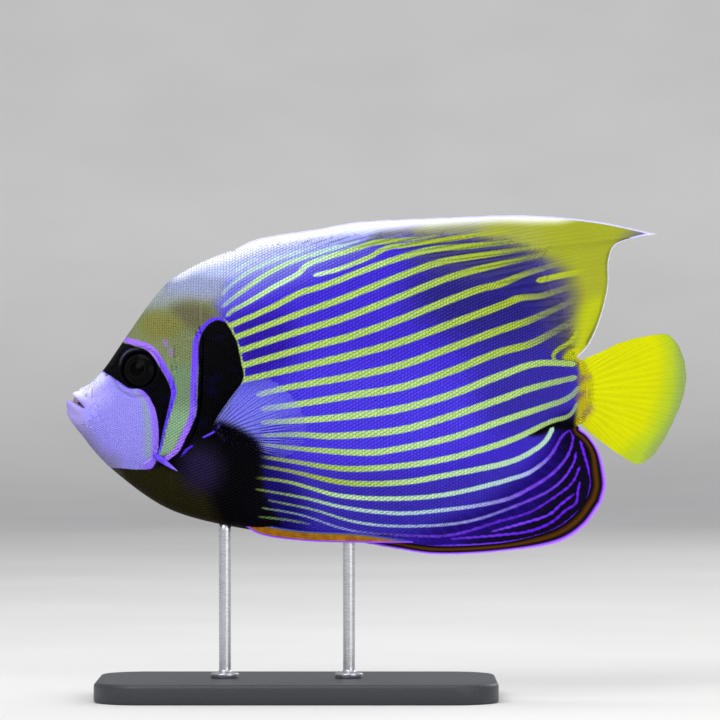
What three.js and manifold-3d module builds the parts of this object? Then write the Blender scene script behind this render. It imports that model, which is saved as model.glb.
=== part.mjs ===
// Emperor angelfish as a life-size museum model on a plain display stand.
// Millimetres, +Z up. The snout points to -X and the fish's left side faces -Y.
// The fish is symmetric about y = 0, and the stand's underside lies on z = 0.

import * as THREE from 'three';
import Module from 'manifold-3d';

const wasm = await Module();
wasm.setup();

const { smoothstep, lerp } = THREE.MathUtils;

// Driving dimensions of the body

const GAP = 0.3; // clearance between touching pieces
const FACET_TOLERANCE = 0.02; // slivers below this are merged away
const NOSE_X = -155.6; // tip of the lower lip
const NOSE_ROUND = 8; // length over which the muzzle rounds off
const HEAD_END_X = -86; // plane between head and trunk
const TRUNK_END_X = 90; // plane between trunk and tail stalk
const STALK_END_X = 107; // flattened end of the tail stalk, inside the tail fin

const MOUTH = { cornerX: -146.4, cornerZ: 145.3, frontX: -152.4, frontZ: 149.9 };
const MOUTH_OPENING = { corner: 0.6, front: 2.4 }; // between the lips

const EYE = { x: -118.6, z: 164.2, radius: 9.2, depth: 5.4, sunk: 2.5 };
const ORBIT_RIM = { radius: 9.5, tube: 1.15 };
const NOSTRILS = [{ x: -135.2, z: 161.6 }, { x: -132.2, z: 164.4 }];
const NOSTRIL_PIT = { radius: 0.85, depth: 1.36 };
const NOSTRIL_RIM = { radius: 1.1, tube: 0.4, lift: 0.1 };

const GILL_PLATE = {
  innerY: 2, // where the plate's block starts, well inside the head
  depth: 1.4, // below the skin
  proud: 0.9, // above the skin at the free rear edge
  riseFromX: -108,
  riseToX: -92,
};

// Driving dimensions of the stand

const BASE = { centreX: -40, length: 200, width: 110, height: 10, corner: 24, edge: 1 };
const ROD = { radius: 3, intoBody: 6, facets: 18 };
const ROD_FOOT = { radius: 7, height: 2.5 };
const ROD_COLLAR = { radius: 3.6, rise: 1.2, height: 3 };
const FRONT_ROD_X = -76;
const REAR_ROD_X = -14;

// Smooth curve through a few points, read at any x

function smoothLine(points) {
  const slopes = points.map(([x, y], i) => {
    const [xa, ya] = points[Math.max(i - 1, 0)];
    const [xb, yb] = points[Math.min(i + 1, points.length - 1)];
    return (yb - ya) / (xb - xa);
  });
  return (x) => {
    let i = points.findIndex(([px]) => px > x) - 1;
    if (i === -2) i = points.length - 2;
    i = Math.max(i, 0);
    const [xa, ya] = points[i];
    const [xb, yb] = points[i + 1];
    const span = xb - xa;
    const t = THREE.MathUtils.clamp((x - xa) / span, 0, 1);
    const t2 = t * t;
    const t3 = t2 * t;
    return ya * (2 * t3 - 3 * t2 + 1) + slopes[i] * span * (t3 - 2 * t2 + t)
      + yb * (3 * t2 - 2 * t3) + slopes[i + 1] * span * (t3 - t2);
  };
}

// Flesh of the body: back and belly in side view, half width, and how keeled they are

const backLine = smoothLine([
  [-156, 151.5], [-149, 154.8], [-143.5, 157.8], [-136.5, 165], [-126.5, 179.5],
  [-113.5, 198], [-103.5, 209], [-88.5, 217.8], [-70, 224.5], [-38.5, 227.5],
  [-10, 226], [20, 221], [50, 210], [75, 195.5], [91, 180.5], [98, 172], [104, 168.4],
  [110, 168.4],
]);
const bellyLine = smoothLine([
  [-156, 137.5], [-149, 132.6], [-142.5, 124.4], [-133.5, 115], [-113.5, 99.5], [-98.5, 92],
  [-75, 86], [-45, 81.5], [-10, 80], [11.5, 81.5], [36.5, 88], [61.5, 100.5], [81.5, 118],
  [98, 134.5], [104, 137.6], [110, 137.6],
]);
const halfWidth = smoothLine([
  [-156, 5.8], [-149, 7], [-141, 9.6], [-128, 13.8], [-113, 18], [-98, 21], [-75, 23],
  [-45, 22.6], [-10, 20], [30, 15.6], [60, 11.2], [85, 7.2], [97, 4.6], [103, 2.6], [110, 1.7],
]);
const backKeel = smoothLine([
  [-156, 0.85], [-130, 0.95], [-110, 1.05], [-70, 1.3], [-30, 1.5], [110, 1.5],
]);
const bellyKeel = smoothLine([
  [-156, 0.85], [-110, 0.85], [-60, 0.95], [-10, 1.3], [25, 1.5], [110, 1.5],
]);

function noseRounding(x) {
  const t = THREE.MathUtils.clamp((x - NOSE_X) / NOSE_ROUND, 0, 1);
  return Math.sqrt(1 - (1 - t) * (1 - t));
}

function flesh(x, angle) {
  const middle = (backLine(x) + bellyLine(x)) / 2;
  const half = (backLine(x) - bellyLine(x)) / 2;
  const keel = Math.sin(angle) > 0 ? backKeel(x) : bellyKeel(x);
  const side = Math.cos(angle);
  const round = noseRounding(x);
  const y = halfWidth(x) * Math.sign(side) * Math.abs(side) ** keel * round;
  return new THREE.Vector3(x, y, middle + half * Math.sin(angle) * round);
}

// Point of the body's surface, raised along its normal

function skin(x, angle, lift = 0) {
  const point = flesh(x, angle);
  if (lift === 0) return point;
  const step = 1e-3;
  const round = flesh(x, angle + step).sub(flesh(x, angle - step));
  const along = flesh(x + step, angle).sub(flesh(x - step, angle));
  return point.addScaledVector(along.cross(round).normalize(), -lift);
}

// Half width of the body at a place seen from the side

function sideY(x, z) {
  const middle = (backLine(x) + bellyLine(x)) / 2;
  const half = (backLine(x) - bellyLine(x)) / 2;
  const sine = THREE.MathUtils.clamp((z - middle) / half, -1, 1);
  return flesh(x, Math.asin(sine)).y;
}

function sideNormal(x, z) {
  const step = 0.5;
  const slopeX = (sideY(x + step, z) - sideY(x - step, z)) / (2 * step);
  const slopeZ = (sideY(x, z + step) - sideY(x, z - step)) / (2 * step);
  return new THREE.Vector3(-slopeX, 1, -slopeZ).normalize();
}

// Closed solids and their joins

function solid(vertices, triangles) {
  const vertProperties = new Float32Array(vertices.flatMap((v) => [v.x, v.y, v.z]));
  const triVerts = new Uint32Array(triangles.flat());
  return new wasm.Manifold(new wasm.Mesh({ numProp: 3, vertProperties, triVerts }));
}

function solidOf(geometry) {
  const place = geometry.attributes.position;
  const index = geometry.index ? [...geometry.index.array] : [...Array(place.count).keys()];
  const seen = new Map();
  const vertices = [];
  const merged = index.map((i) => {
    const v = new THREE.Vector3().fromBufferAttribute(place, i);
    const key = v.toArray().map((c) => Math.round(c * 1e4)).join();
    if (!seen.has(key)) seen.set(key, vertices.push(v) - 1);
    return seen.get(key);
  });
  const triangles = [];
  for (let i = 0; i < merged.length; i += 3) {
    const [a, b, c] = merged.slice(i, i + 3);
    if (a !== b && b !== c && c !== a) triangles.push([a, b, c]);
  }
  return solid(vertices, triangles);
}

function largest(shape) {
  return shape.decompose().sort((a, b) => b.volume() - a.volume())[0];
}

function geometryOf(shape) {
  const mesh = largest(shape).simplify(FACET_TOLERANCE).getMesh();
  const geometry = new THREE.BufferGeometry();
  geometry.setAttribute('position', new THREE.BufferAttribute(mesh.vertProperties, 3));
  geometry.setIndex(new THREE.BufferAttribute(mesh.triVerts, 1));
  return geometry;
}

function mirrored(shape) {
  return shape.mirror([0, 1, 0]);
}

// Solid through rings of points, closed by a fan at each end

function loft(rings) {
  const count = rings[0].length;
  const vertices = rings.flat();
  const triangles = [];
  for (let r = 0; r < rings.length - 1; r++) {
    for (let i = 0; i < count; i++) {
      const a = r * count + i;
      const b = r * count + ((i + 1) % count);
      triangles.push([a, b, b + count], [a, b + count, a + count]);
    }
  }
  for (const [ring, flip] of [[0, true], [rings.length - 1, false]]) {
    const centre = new THREE.Vector3();
    rings[ring].forEach((v) => centre.addScaledVector(v, 1 / count));
    const hub = vertices.push(centre) - 1;
    for (let i = 0; i < count; i++) {
      const a = ring * count + i;
      const b = ring * count + ((i + 1) % count);
      triangles.push(flip ? [hub, b, a] : [hub, a, b]);
    }
  }
  return solid(vertices, triangles);
}

// Round bar along a smooth path, with its own radius at each of the path's points

function bar(points, radii, steps, sides) {
  const path = new THREE.CatmullRomCurve3(points, false, 'centripetal');
  const thickness = smoothLine(radii.map((r, i) => [i / (radii.length - 1), r]));
  const frames = path.computeFrenetFrames(steps, false);
  const rings = [];
  for (let s = 0; s <= steps; s++) {
    const centre = path.getPointAt(s / steps);
    const radius = thickness(path.getUtoTmapping(s / steps));
    const ring = [];
    for (let i = 0; i < sides; i++) {
      const turn = (2 * Math.PI * i) / sides;
      ring.push(centre.clone()
        .addScaledVector(frames.normals[s], radius * Math.cos(turn))
        .addScaledVector(frames.binormals[s], radius * Math.sin(turn)));
    }
    rings.push(ring);
  }
  return loft(rings);
}

// Block between two y values, with its outline given as [x, z] pairs

function sideBlock(outline, y0, y1) {
  const shape = new THREE.Shape(outline.map(([x, z]) => new THREE.Vector2(x, z)));
  const geometry = new THREE.ExtrudeGeometry(shape, { depth: y1 - y0, bevelEnabled: false });
  geometry.rotateX(Math.PI / 2);
  geometry.translate(0, y1, 0);
  return solidOf(geometry);
}

// The body as lofts that share their rings

const AROUND = 32;
const STATIONS = {
  head: { from: NOSE_X + 0.15, to: HEAD_END_X - GAP / 2, steps: 16, ease: 1.35 },
  trunk: { from: HEAD_END_X + GAP / 2, to: TRUNK_END_X - GAP / 2, steps: 14, ease: 1 },
  stalk: { from: TRUNK_END_X + GAP / 2, to: STALK_END_X, steps: 5, ease: 1 },
};

function stationList({ from, to, steps, ease }) {
  return Array.from({ length: steps + 1 }, (_, i) => lerp(from, to, (i / steps) ** ease));
}

function bodyLoft(parts, lift = () => 0, extraStations = []) {
  const stations = [...parts.flatMap((part) => stationList(STATIONS[part])), ...extraStations];
  return loft(stations.map((x) => Array.from({ length: AROUND }, (_, i) => {
    return skin(x, (2 * Math.PI * i) / AROUND, lift(x));
  })));
}

const clearance = bodyLoft(['head', 'trunk', 'stalk'], () => GAP, [STALK_END_X + GAP]);

// Lips and mouth: the front of the head is parted by thin cuts

// A lip is a bar from its right corner to its middle, carried on to the left by symmetry

const LIP_FACETS = { steps: 12, sides: 7 };

function lipBar(rightHalf, radii) {
  const toMiddle = rightHalf.map(([x, y, z]) => new THREE.Vector3(x, y, z));
  const fromMiddle = rightHalf.slice(0, -1).reverse().map(([x, y, z]) => new THREE.Vector3(x, -y, z));
  const allRadii = [...radii, ...radii.slice(0, -1).reverse()];
  return bar([...toMiddle, ...fromMiddle], allRadii, LIP_FACETS.steps, LIP_FACETS.sides);
}

const upperLipBar = lipBar(
  [[-143.2, 8.1, 144.8], [-146.2, 6.8, 147.6], [-149.2, 3.5, 150.9], [-149.9, 0, 151.6]],
  [0.8, 1.6, 2.0, 2.1]);
const lowerLipBar = lipBar(
  [[-143.4, 7.9, 142], [-147.6, 6.6, 143.8], [-151.8, 3.6, 146], [-152.9, 0, 146.4]],
  [0.8, 1.8, 2.5, 2.6]);

const BEFORE_NOSE = NOSE_X - 6;
const LIP_TOP = { z: 162, lean: 0.6 }; // the upper lip's zone leans rearward by this
const CHIN = { z: 124, lean: 1.8 }; // and the jaw's zone leans forward by this
const BESIDE = 30; // further out than any part of the head

// The lips' zones end at the line of the mouth, which is carried on past the nose

function lipZone(upper, grow) {
  const sign = upper ? 1 : -1;
  const rear = MOUTH.cornerX + grow;
  const corner = MOUTH.cornerZ + sign * (MOUTH_OPENING.corner / 2 - grow);
  const front = MOUTH.frontZ + sign * (MOUTH_OPENING.front / 2 - grow);
  const slope = (front - corner) / (MOUTH.cornerX - MOUTH.frontX);
  const beyond = corner + slope * (rear - BEFORE_NOSE);
  return upper
    ? sideBlock([[BEFORE_NOSE, beyond], [rear, corner], [rear + LIP_TOP.lean, LIP_TOP.z],
      [BEFORE_NOSE, LIP_TOP.z]], -BESIDE, BESIDE)
    : sideBlock([[BEFORE_NOSE, CHIN.z], [rear - CHIN.lean, CHIN.z], [rear, corner],
      [BEFORE_NOSE, beyond]], -BESIDE, BESIDE);
}

// Eye, its rim and the nostrils

function onSkin(geometry, x, z, lift) {
  const normal = sideNormal(x, z);
  const centre = new THREE.Vector3(x, sideY(x, z), z).addScaledVector(normal, lift);
  const turn = new THREE.Quaternion().setFromUnitVectors(new THREE.Vector3(0, 0, 1), normal);
  return geometry.applyQuaternion(turn).translate(centre.x, centre.y, centre.z);
}

const EYE_FACETS = { around: 16, rows: 9 };
const ORBIT_FACETS = { around: 18, tube: 4 };
const NOSTRIL_FACETS = { around: 8, tube: 4, pitAround: 7, pitRows: 4 };

function eyeball(grow) {
  const ball = new THREE.SphereGeometry(1, EYE_FACETS.around, EYE_FACETS.rows);
  ball.scale(EYE.radius + grow, EYE.radius + grow, EYE.depth + grow);
  return solidOf(onSkin(ball, EYE.x, EYE.z, -EYE.sunk));
}

function orbitRim() {
  const { radius, tube } = ORBIT_RIM;
  const ring = new THREE.TorusGeometry(radius, tube, ORBIT_FACETS.tube, ORBIT_FACETS.around);
  return solidOf(onSkin(ring, EYE.x, EYE.z, 0));
}

function nostrilRim({ x, z }) {
  const { radius, tube, lift } = NOSTRIL_RIM;
  const ring = new THREE.TorusGeometry(radius, tube, NOSTRIL_FACETS.tube, NOSTRIL_FACETS.around);
  return solidOf(onSkin(ring, x, z, lift));
}

function nostrilPit({ x, z }) {
  const pit = new THREE.SphereGeometry(1, NOSTRIL_FACETS.pitAround, NOSTRIL_FACETS.pitRows);
  pit.scale(NOSTRIL_PIT.radius, NOSTRIL_PIT.radius, NOSTRIL_PIT.depth);
  return solidOf(onSkin(pit, x, z, 0));
}

// Gill cover: a plate let into the cheek, free and proud along its rear edge

const GILL_OUTLINE = [
  [-106.2, 123], [-106.4, 134], [-105.2, 147], [-102, 160], [-98, 171], [-93.5, 180.5],
  [-89.6, 184], [-87.6, 180.5], [-87.8, 164], [-88.2, 150], [-90.2, 137], [-95, 127.5],
  [-101, 121.4],
];
const GILL_STEPS = 30;

function gillOutline(grow) {
  const curve = new THREE.CatmullRomCurve3(
    GILL_OUTLINE.map(([x, z]) => new THREE.Vector3(x, 0, z)), true, 'centripetal');
  return Array.from({ length: GILL_STEPS }, (_, i) => {
    const point = curve.getPointAt(i / GILL_STEPS);
    const tangent = curve.getTangentAt(i / GILL_STEPS);
    return [point.x - tangent.z * grow, point.z + tangent.x * grow];
  });
}

const { innerY, depth: plateDepth, proud, riseFromX, riseToX } = GILL_PLATE;
const gillTop = bodyLoft(['head'], (x) => proud * smoothstep(x, riseFromX, riseToX));
const gillBed = bodyLoft(['head'], () => -plateDepth);
const gillPocket = bodyLoft(['head'], () => -plateDepth - GAP);

const gillRight = sideBlock(gillOutline(0), innerY, BESIDE).intersect(gillTop).subtract(gillBed);
const gillRecess = sideBlock(gillOutline(GAP), innerY, BESIDE).subtract(gillPocket);

// Cheek spine at the lower corner of the cheek, from its root to its tip: x, z, lift and radius

const CHEEK_SPINE = [
  [-111.6, 122.6, -2.2, 1.5], [-107, 119.4, 0.3, 1.7], [-102.8, 116.4, 1.3, 1.2],
  [-99, 113.8, 1.2, 0.3],
];
const SPINE_FACETS = { steps: 7, sides: 7 };

function cheekSpine(grow) {
  const points = CHEEK_SPINE.map(([x, z, lift]) => new THREE.Vector3(x, sideY(x, z) + lift, z));
  const radii = CHEEK_SPINE.map(([, , , radius]) => radius + grow);
  return bar(points, radii, SPINE_FACETS.steps, SPINE_FACETS.sides);
}

// Thin fin with its rays raised in its own surface. Each ray has a crest column, and the
// membrane between two rays has a valley column that ends a little short of their tips.

function finSheet({ rays, rows, ray, facing, crest, valley, scallop, bend = () => 0 }) {
  const columns = 2 * rays - 1;
  const front = [];
  const back = [];
  for (let c = 0; c < columns; c++) {
    const place = c / (columns - 1);
    const isCrest = c % 2 === 0;
    const [root, tip] = ray(place);
    const short = isCrest ? 0 : scallop(place) / root.distanceTo(tip);
    const normal = facing(place);
    for (let r = 0; r <= rows; r++) {
      const t = (r / rows) * (1 - short);
      const half = (isCrest ? crest : valley)(t);
      const middle = root.clone().lerp(tip, t).addScaledVector(normal, bend(place, t));
      front.push(middle.clone().addScaledVector(normal, half));
      back.push(middle.clone().addScaledVector(normal, -half));
    }
  }
  return sheetSolid(front, back, columns, rows + 1);
}

function sheetSolid(front, back, columns, perColumn) {
  const under = front.length;
  const triangles = [];
  const quad = (a, b, c, d) => triangles.push([a, b, c], [a, c, d]);
  for (let c = 0; c < columns - 1; c++) {
    for (let r = 0; r < perColumn - 1; r++) {
      const a = c * perColumn + r;
      const b = a + perColumn;
      quad(a, b, b + 1, a + 1);
      triangles.push([under + a, under + b + 1, under + b]);
      triangles.push([under + a, under + a + 1, under + b + 1]);
    }
    const root = c * perColumn;
    const tip = root + perColumn - 1;
    quad(root, under + root, under + root + perColumn, root + perColumn);
    quad(tip + perColumn, under + tip + perColumn, under + tip, tip);
  }
  const last = (columns - 1) * perColumn;
  for (let r = 0; r < perColumn - 1; r++) {
    quad(r + 1, under + r + 1, under + r, r);
    quad(last + r, under + last + r, under + last + r + 1, last + r + 1);
  }
  const shape = solid([...front, ...back], triangles);
  return shape.volume() > 0 ? shape : solid([...front, ...back], triangles.map(([a, b, c]) => [a, c, b]));
}

function sideCurve(points) {
  const places = points.map(([x, z]) => new THREE.Vector3(x, 0, z));
  return new THREE.CatmullRomCurve3(places, false, 'centripetal');
}

// Median fins: rays run from a base line inside the flesh to the fin's edge. The edge has
// two stretches that meet at the fin's corner, which one ray reaches.

function edgeRay(base, leading, trailing, corner, spread) {
  return (place) => {
    const tip = place <= corner
      ? leading.getPointAt((place / corner) ** spread)
      : trailing.getPointAt((place - corner) / (1 - corner));
    return [base.getPointAt(place), tip];
  };
}

const TAPER_END = 1 / 1.15; // share of a ray at which it reaches the thickness of its tip

const sideways = () => new THREE.Vector3(0, 1, 0);
const taper = (root, tip) => (t) => lerp(root, tip, Math.min(t / TAPER_END, 1));

const dorsal = finSheet({
  rays: 34,
  rows: 4,
  ray: edgeRay(
    sideCurve([[-72, 220], [-38.5, 223], [-10, 221.5], [20, 216.5], [50, 205.5], [74, 191],
      [90, 176.5], [98, 168.5]]),
    sideCurve([[-70, 226], [-57, 230.2], [-28, 234.8], [-12, 237.8], [36, 240.4], [74, 241.4],
      [110, 238.3], [140, 232]]),
    sideCurve([[140, 232], [130, 230.2], [119, 226.3], [116, 219], [115.6, 206], [111.5, 189],
      [105.5, 176], [100.2, 170.4]]),
    16 / 33, 1),
  facing: sideways,
  crest: taper(1.25, 0.45),
  valley: taper(0.95, 0.3),
  scallop: (place) => 0.2 + 0.7 * smoothstep(place, 0.1, 0.16) * (1 - smoothstep(place, 0.3, 0.38)),
});

const anal = finSheet({
  rays: 24,
  rows: 4,
  ray: edgeRay(
    sideCurve([[-10, 84], [11.5, 86], [36.5, 93], [61.5, 105.5], [80, 122], [92, 134.5],
      [97, 139]]),
    sideCurve([[-10, 78.2], [10, 74.4], [28, 71.8], [62, 73.2], [92, 78.2], [104, 86],
      [112.5, 97.5]]),
    sideCurve([[112.5, 97.5], [114.6, 106], [113.6, 115], [110.5, 124.5], [105.4, 131.8],
      [101.8, 134.6]]),
    0.72, 1.1),
  facing: sideways,
  crest: taper(1.2, 0.42),
  valley: taper(0.9, 0.3),
  scallop: () => 0.5,
});

const tailEdge = sideCurve([
  [102, 169.2], [111, 172.6], [121.5, 177.6], [136.5, 181.3], [145.5, 181.6], [150.5, 176.5],
  [153.8, 168], [154.6, 159], [152.6, 149], [148.6, 139], [142, 126.5], [136, 119.4],
  [130, 117], [121.5, 121.6], [111.5, 128.8], [102, 136.6],
]);
const tailFin = finSheet({
  rays: 19,
  rows: 5,
  ray: (place) => [
    new THREE.Vector3(lerp(101.6, 103, Math.sin(Math.PI * place)), 0, lerp(168.2, 137.6, place)),
    tailEdge.getPointAt(lerp(0.03, 0.97, place)),
  ],
  facing: sideways,
  crest: taper(1.45, 0.42),
  valley: taper(1.15, 0.3),
  scallop: () => 0.6,
});

// Paired fins, made on the right side and mirrored for the left

const pectoralRoot = { high: [-82.6, 134.6], low: [-77.2, 128.6], inFlesh: 1.6 };
const pectoralEdge = sideCurve([
  [-65.5, 159.4], [-53, 159.6], [-47, 156.2], [-40.6, 149.8], [-36.2, 142.4], [-34.8, 134],
  [-37.6, 126], [-45.6, 120.6],
]);
const PECTORAL_FLARE = { middle: 15, ends: 11.25 }; // how far the edge stands off the flank
const PECTORAL_FACING = new THREE.Vector3(-0.33, 0.93, 0.05).normalize();
const PECTORAL_BOW = 2.2;

const pectoral = finSheet({
  rays: 16,
  rows: 4,
  ray: (place) => {
    const [rootX, rootZ] = [0, 1].map((k) => lerp(pectoralRoot.high[k], pectoralRoot.low[k], place));
    const tip = pectoralEdge.getPointAt(place);
    const { ends, middle } = PECTORAL_FLARE;
    tip.y = sideY(tip.x, tip.z) + lerp(ends, middle, Math.sin(Math.PI * place));
    const rootY = sideY(rootX, rootZ) - pectoralRoot.inFlesh;
    return [new THREE.Vector3(rootX, rootY, rootZ), tip];
  },
  facing: () => PECTORAL_FACING,
  crest: taper(0.95, 0.36),
  valley: taper(0.6, 0.27),
  scallop: () => 0.6,
  bend: (place, t) => PECTORAL_BOW * Math.sin(Math.PI * t),
});

// Pelvic fins lie folded back along the belly, their lower edge nearer the middle

const pelvicUpper = sideCurve([[-66.5, 93], [-57, 87.6], [-38.5, 84.2], [-8, 82.4], [18, 78.7]]);
const pelvicLower = sideCurve([[-69.5, 89.5], [-60, 82.6], [-38.5, 78.9], [-8, 77.8], [18, 77.7]]);
const PELVIC = {
  rays: 6,
  stations: 10,
  rootY: 5,
  offFlank: 0.7,
  clearOfRod: 4.4,
  tipY: 3,
  crest: 0.62,
  valley: 0.36,
  tipShare: 0.6, // half thickness at the tip as a share of that at the root
};

// How far from the middle plane the fin lies, t along it and down from its upper edge

function pelvicY(upper, t, down) {
  const lying = Math.max(sideY(upper.x, upper.z) + PELVIC.offFlank, PELVIC.clearOfRod);
  const free = lerp(lying, Math.min(lying, PELVIC.clearOfRod), down);
  const toTip = lerp(free, PELVIC.tipY, smoothstep(t, 0.8, 1));
  return lerp(PELVIC.rootY, toTip, smoothstep(t, 0.05, 0.3));
}

function pelvicSheet() {
  const columns = 2 * PELVIC.rays - 1;
  const front = [];
  const back = [];
  for (let c = 0; c < columns; c++) {
    const down = c / (columns - 1);
    for (let r = 0; r <= PELVIC.stations; r++) {
      const t = r / PELVIC.stations;
      const upper = pelvicUpper.getPoint(t);
      const point = upper.clone().lerp(pelvicLower.getPoint(t), down);
      const y = pelvicY(upper, t, down);
      const thickest = c % 2 === 0 ? PELVIC.crest : PELVIC.valley;
      const half = thickest * lerp(1, PELVIC.tipShare, t);
      front.push(new THREE.Vector3(point.x, y + half, point.z));
      back.push(new THREE.Vector3(point.x, y - half, point.z));
    }
  }
  return sheetSolid(front, back, columns, PELVIC.stations + 1);
}

const pelvic = pelvicSheet();

// Stand

function standBase() {
  const { length, width, height, corner, edge } = BASE;
  const [halfX, halfY] = [length / 2 - edge, width / 2 - edge];
  const outline = new THREE.Shape();
  outline.moveTo(-halfX + corner, -halfY);
  outline.absarc(halfX - corner, -halfY + corner, corner, -Math.PI / 2, 0);
  outline.absarc(halfX - corner, halfY - corner, corner, 0, Math.PI / 2);
  outline.absarc(-halfX + corner, halfY - corner, corner, Math.PI / 2, Math.PI);
  outline.absarc(-halfX + corner, -halfY + corner, corner, Math.PI, 1.5 * Math.PI);
  const slab = new THREE.ExtrudeGeometry(outline, {
    depth: height - 2 * edge,
    bevelThickness: edge,
    bevelSize: edge,
    bevelSegments: 1,
    curveSegments: 6,
  });
  return solidOf(slab.translate(BASE.centreX, 0, edge));
}

function standRod(x) {
  const foot = BASE.height + GAP;
  const disc = foot + ROD_FOOT.height;
  const top = bellyLine(x) + ROD.intoBody;
  const profile = [
    [0, foot], [ROD_FOOT.radius, foot], [ROD_FOOT.radius, disc],
    [ROD_COLLAR.radius, disc + ROD_COLLAR.rise], [ROD.radius, disc + ROD_COLLAR.height],
    [ROD.radius, top], [0, top],
  ];
  const rod = new THREE.LatheGeometry(profile.map(([r, z]) => new THREE.Vector2(r, z)), ROD.facets);
  return solidOf(rod.rotateX(Math.PI / 2).translate(x, 0, 0));
}

// Colours and finishes

const material = (color, roughness, metalness = 0) => {
  return new THREE.MeshStandardMaterial({ color, roughness, metalness });
};
const FACE = material(0xa8a0f0, 0.5);
const FLANK = material(0x4436d0, 0.45);
const LIP = material(0xd8d0ff, 0.5);
const EYE_DARK = material(0x101018, 0.15);
const SPINE = material(0x9a78ff, 0.45);
const YELLOW = material(0xd8d800, 0.5);
const OLIVE = material(0xa8aa20, 0.5);
const ANAL = material(0x2a1c60, 0.5);
const CLEAR = material(0xb8b4e8, 0.4);
const ORANGE = material(0xc88200, 0.5);
const SLATE = material(0x2c2d30, 0.5);
const STEEL = material(0xb4b6ba, 0.3, 1);

// The pieces

const front = bodyLoft(['head']).add(upperLipBar).add(lowerLipBar);
const upperLip = front.intersect(lipZone(true, 0));
const lowerJaw = front.intersect(lipZone(false, 0));

const eyeRight = eyeball(0);
const spineRight = cheekSpine(0);

let head = front.subtract(lipZone(true, GAP)).subtract(lipZone(false, GAP));
for (const flip of [(shape) => shape, mirrored]) {
  head = head.add(flip(orbitRim())).subtract(flip(eyeball(GAP)));
  for (const nostril of NOSTRILS) head = head.add(flip(nostrilRim(nostril)));
  for (const nostril of NOSTRILS) head = head.subtract(flip(nostrilPit(nostril)));
  head = head.subtract(flip(gillRecess)).subtract(flip(cheekSpine(GAP)));
}
const gillCoverRight = gillRight.subtract(cheekSpine(GAP));

const pectoralRight = pectoral.subtract(clearance);
const pelvicRight = pelvic.subtract(clearance);
const pieces = [
  ['head', head, FACE],
  ['torso', bodyLoft(['trunk']), FLANK],
  ['tail_stalk', bodyLoft(['stalk']), YELLOW],
  ['upper_lip', upperLip, LIP],
  ['lower_jaw', lowerJaw, LIP],
  ['eye_right', eyeRight, EYE_DARK],
  ['eye_left', mirrored(eyeRight), EYE_DARK],
  ['gill_cover_right', gillCoverRight, FACE],
  ['gill_cover_left', mirrored(gillCoverRight), FACE],
  ['cheek_spine_right', spineRight, SPINE],
  ['cheek_spine_left', mirrored(spineRight), SPINE],
  ['dorsal_fin', dorsal.subtract(clearance), OLIVE],
  ['anal_fin', anal.subtract(clearance), ANAL],
  ['caudal_fin', tailFin.subtract(clearance), YELLOW],
  ['pectoral_fin_right', pectoralRight, CLEAR],
  ['pectoral_fin_left', mirrored(pectoralRight), CLEAR],
  ['pelvic_fin_right', pelvicRight, ORANGE],
  ['pelvic_fin_left', mirrored(pelvicRight), ORANGE],
  ['stand_base', standBase(), SLATE],
  ['stand_rod_front', standRod(FRONT_ROD_X).subtract(clearance), STEEL],
  ['stand_rod_rear', standRod(REAR_ROD_X).subtract(clearance), STEEL],
];

const fish = new THREE.Group();
for (const [name, shape, finish] of pieces) {
  const mesh = new THREE.Mesh(geometryOf(shape), finish);
  mesh.name = name;
  fish.add(mesh);
}

export default fish;
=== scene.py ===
# Looks of the emperor angelfish model: one skin, its coat of scales, fins, eyes and the stand.
# Lengths are millimetres in the frame of the solids and become metres where a mesh is made.
# The snout points to -X, the fish's left side to -Y, and the stand's underside lies on z = 0.

import bpy
import numpy as np
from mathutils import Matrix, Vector


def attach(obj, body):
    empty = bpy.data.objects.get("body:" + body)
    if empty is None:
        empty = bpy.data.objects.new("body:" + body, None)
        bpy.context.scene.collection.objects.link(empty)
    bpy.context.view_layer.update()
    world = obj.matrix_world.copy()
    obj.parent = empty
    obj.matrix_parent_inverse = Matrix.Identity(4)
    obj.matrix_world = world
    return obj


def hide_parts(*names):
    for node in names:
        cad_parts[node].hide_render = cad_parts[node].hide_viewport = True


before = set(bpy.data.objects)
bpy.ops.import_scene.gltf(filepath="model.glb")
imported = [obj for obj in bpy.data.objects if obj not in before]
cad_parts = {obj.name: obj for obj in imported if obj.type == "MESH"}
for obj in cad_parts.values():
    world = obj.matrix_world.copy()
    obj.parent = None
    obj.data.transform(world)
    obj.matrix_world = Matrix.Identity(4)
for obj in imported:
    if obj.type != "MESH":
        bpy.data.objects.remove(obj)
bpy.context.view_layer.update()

MM = 0.001
QUICK_FACTOR = 1
SEED = 11

# Camera and framing: the picture is square and shows this width at the fish's middle plane

VIEW_WIDTH = 360
VIEW_CENTRE = (-8.5, 169)
CAMERA_DISTANCE = 2500
SENSOR = 36

# Sizes of the body, the same as in the solids

NOSE_X = -155.6
NOSE_ROUND = 8
HEAD_END_X = -86
SKIN_END_X = 107
COAT_DEPTH = 0.3  # the skin lies this far inside the solids, and the scales fill it up

MOUTH_CORNER = (-146.4, 145.3)
MOUTH_FRONT = (-152.4, 149.9)
EYE_X, EYE_Z = -118.6, 164.2
EYE_RADIUS = 8.7
EYE_DEPTH = 5.4
EYE_SUNK = 2.5
ORBIT_RADIUS = 9.4
NOSTRILS = [(-135.2, 161.6), (-132.2, 164.4)]

# Sizes of the stand

BASE = {"centre": -40, "length": 200, "width": 110, "height": 10, "corner": 24, "edge": 2,
        "lower_edge": 0.8, "corner_steps": 24, "edge_steps": 7}
ROD = {"radius": 3, "foot_radius": 7, "foot_height": 2.1, "foot_edge": 0.5, "neck_radius": 6.4,
       "neck_height": 1.6, "into_base": 0.5, "into_fish": 4, "shaft_from": 6, "end_hole": 0.01,
       "around": 64, "foot_steps": 5, "neck_steps": 8, "shaft_steps": 12, "foot_turn": 0.3,
       "neck_turn": 0.4}
ROD_XS = {"front": -76, "rear": -14}

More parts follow.
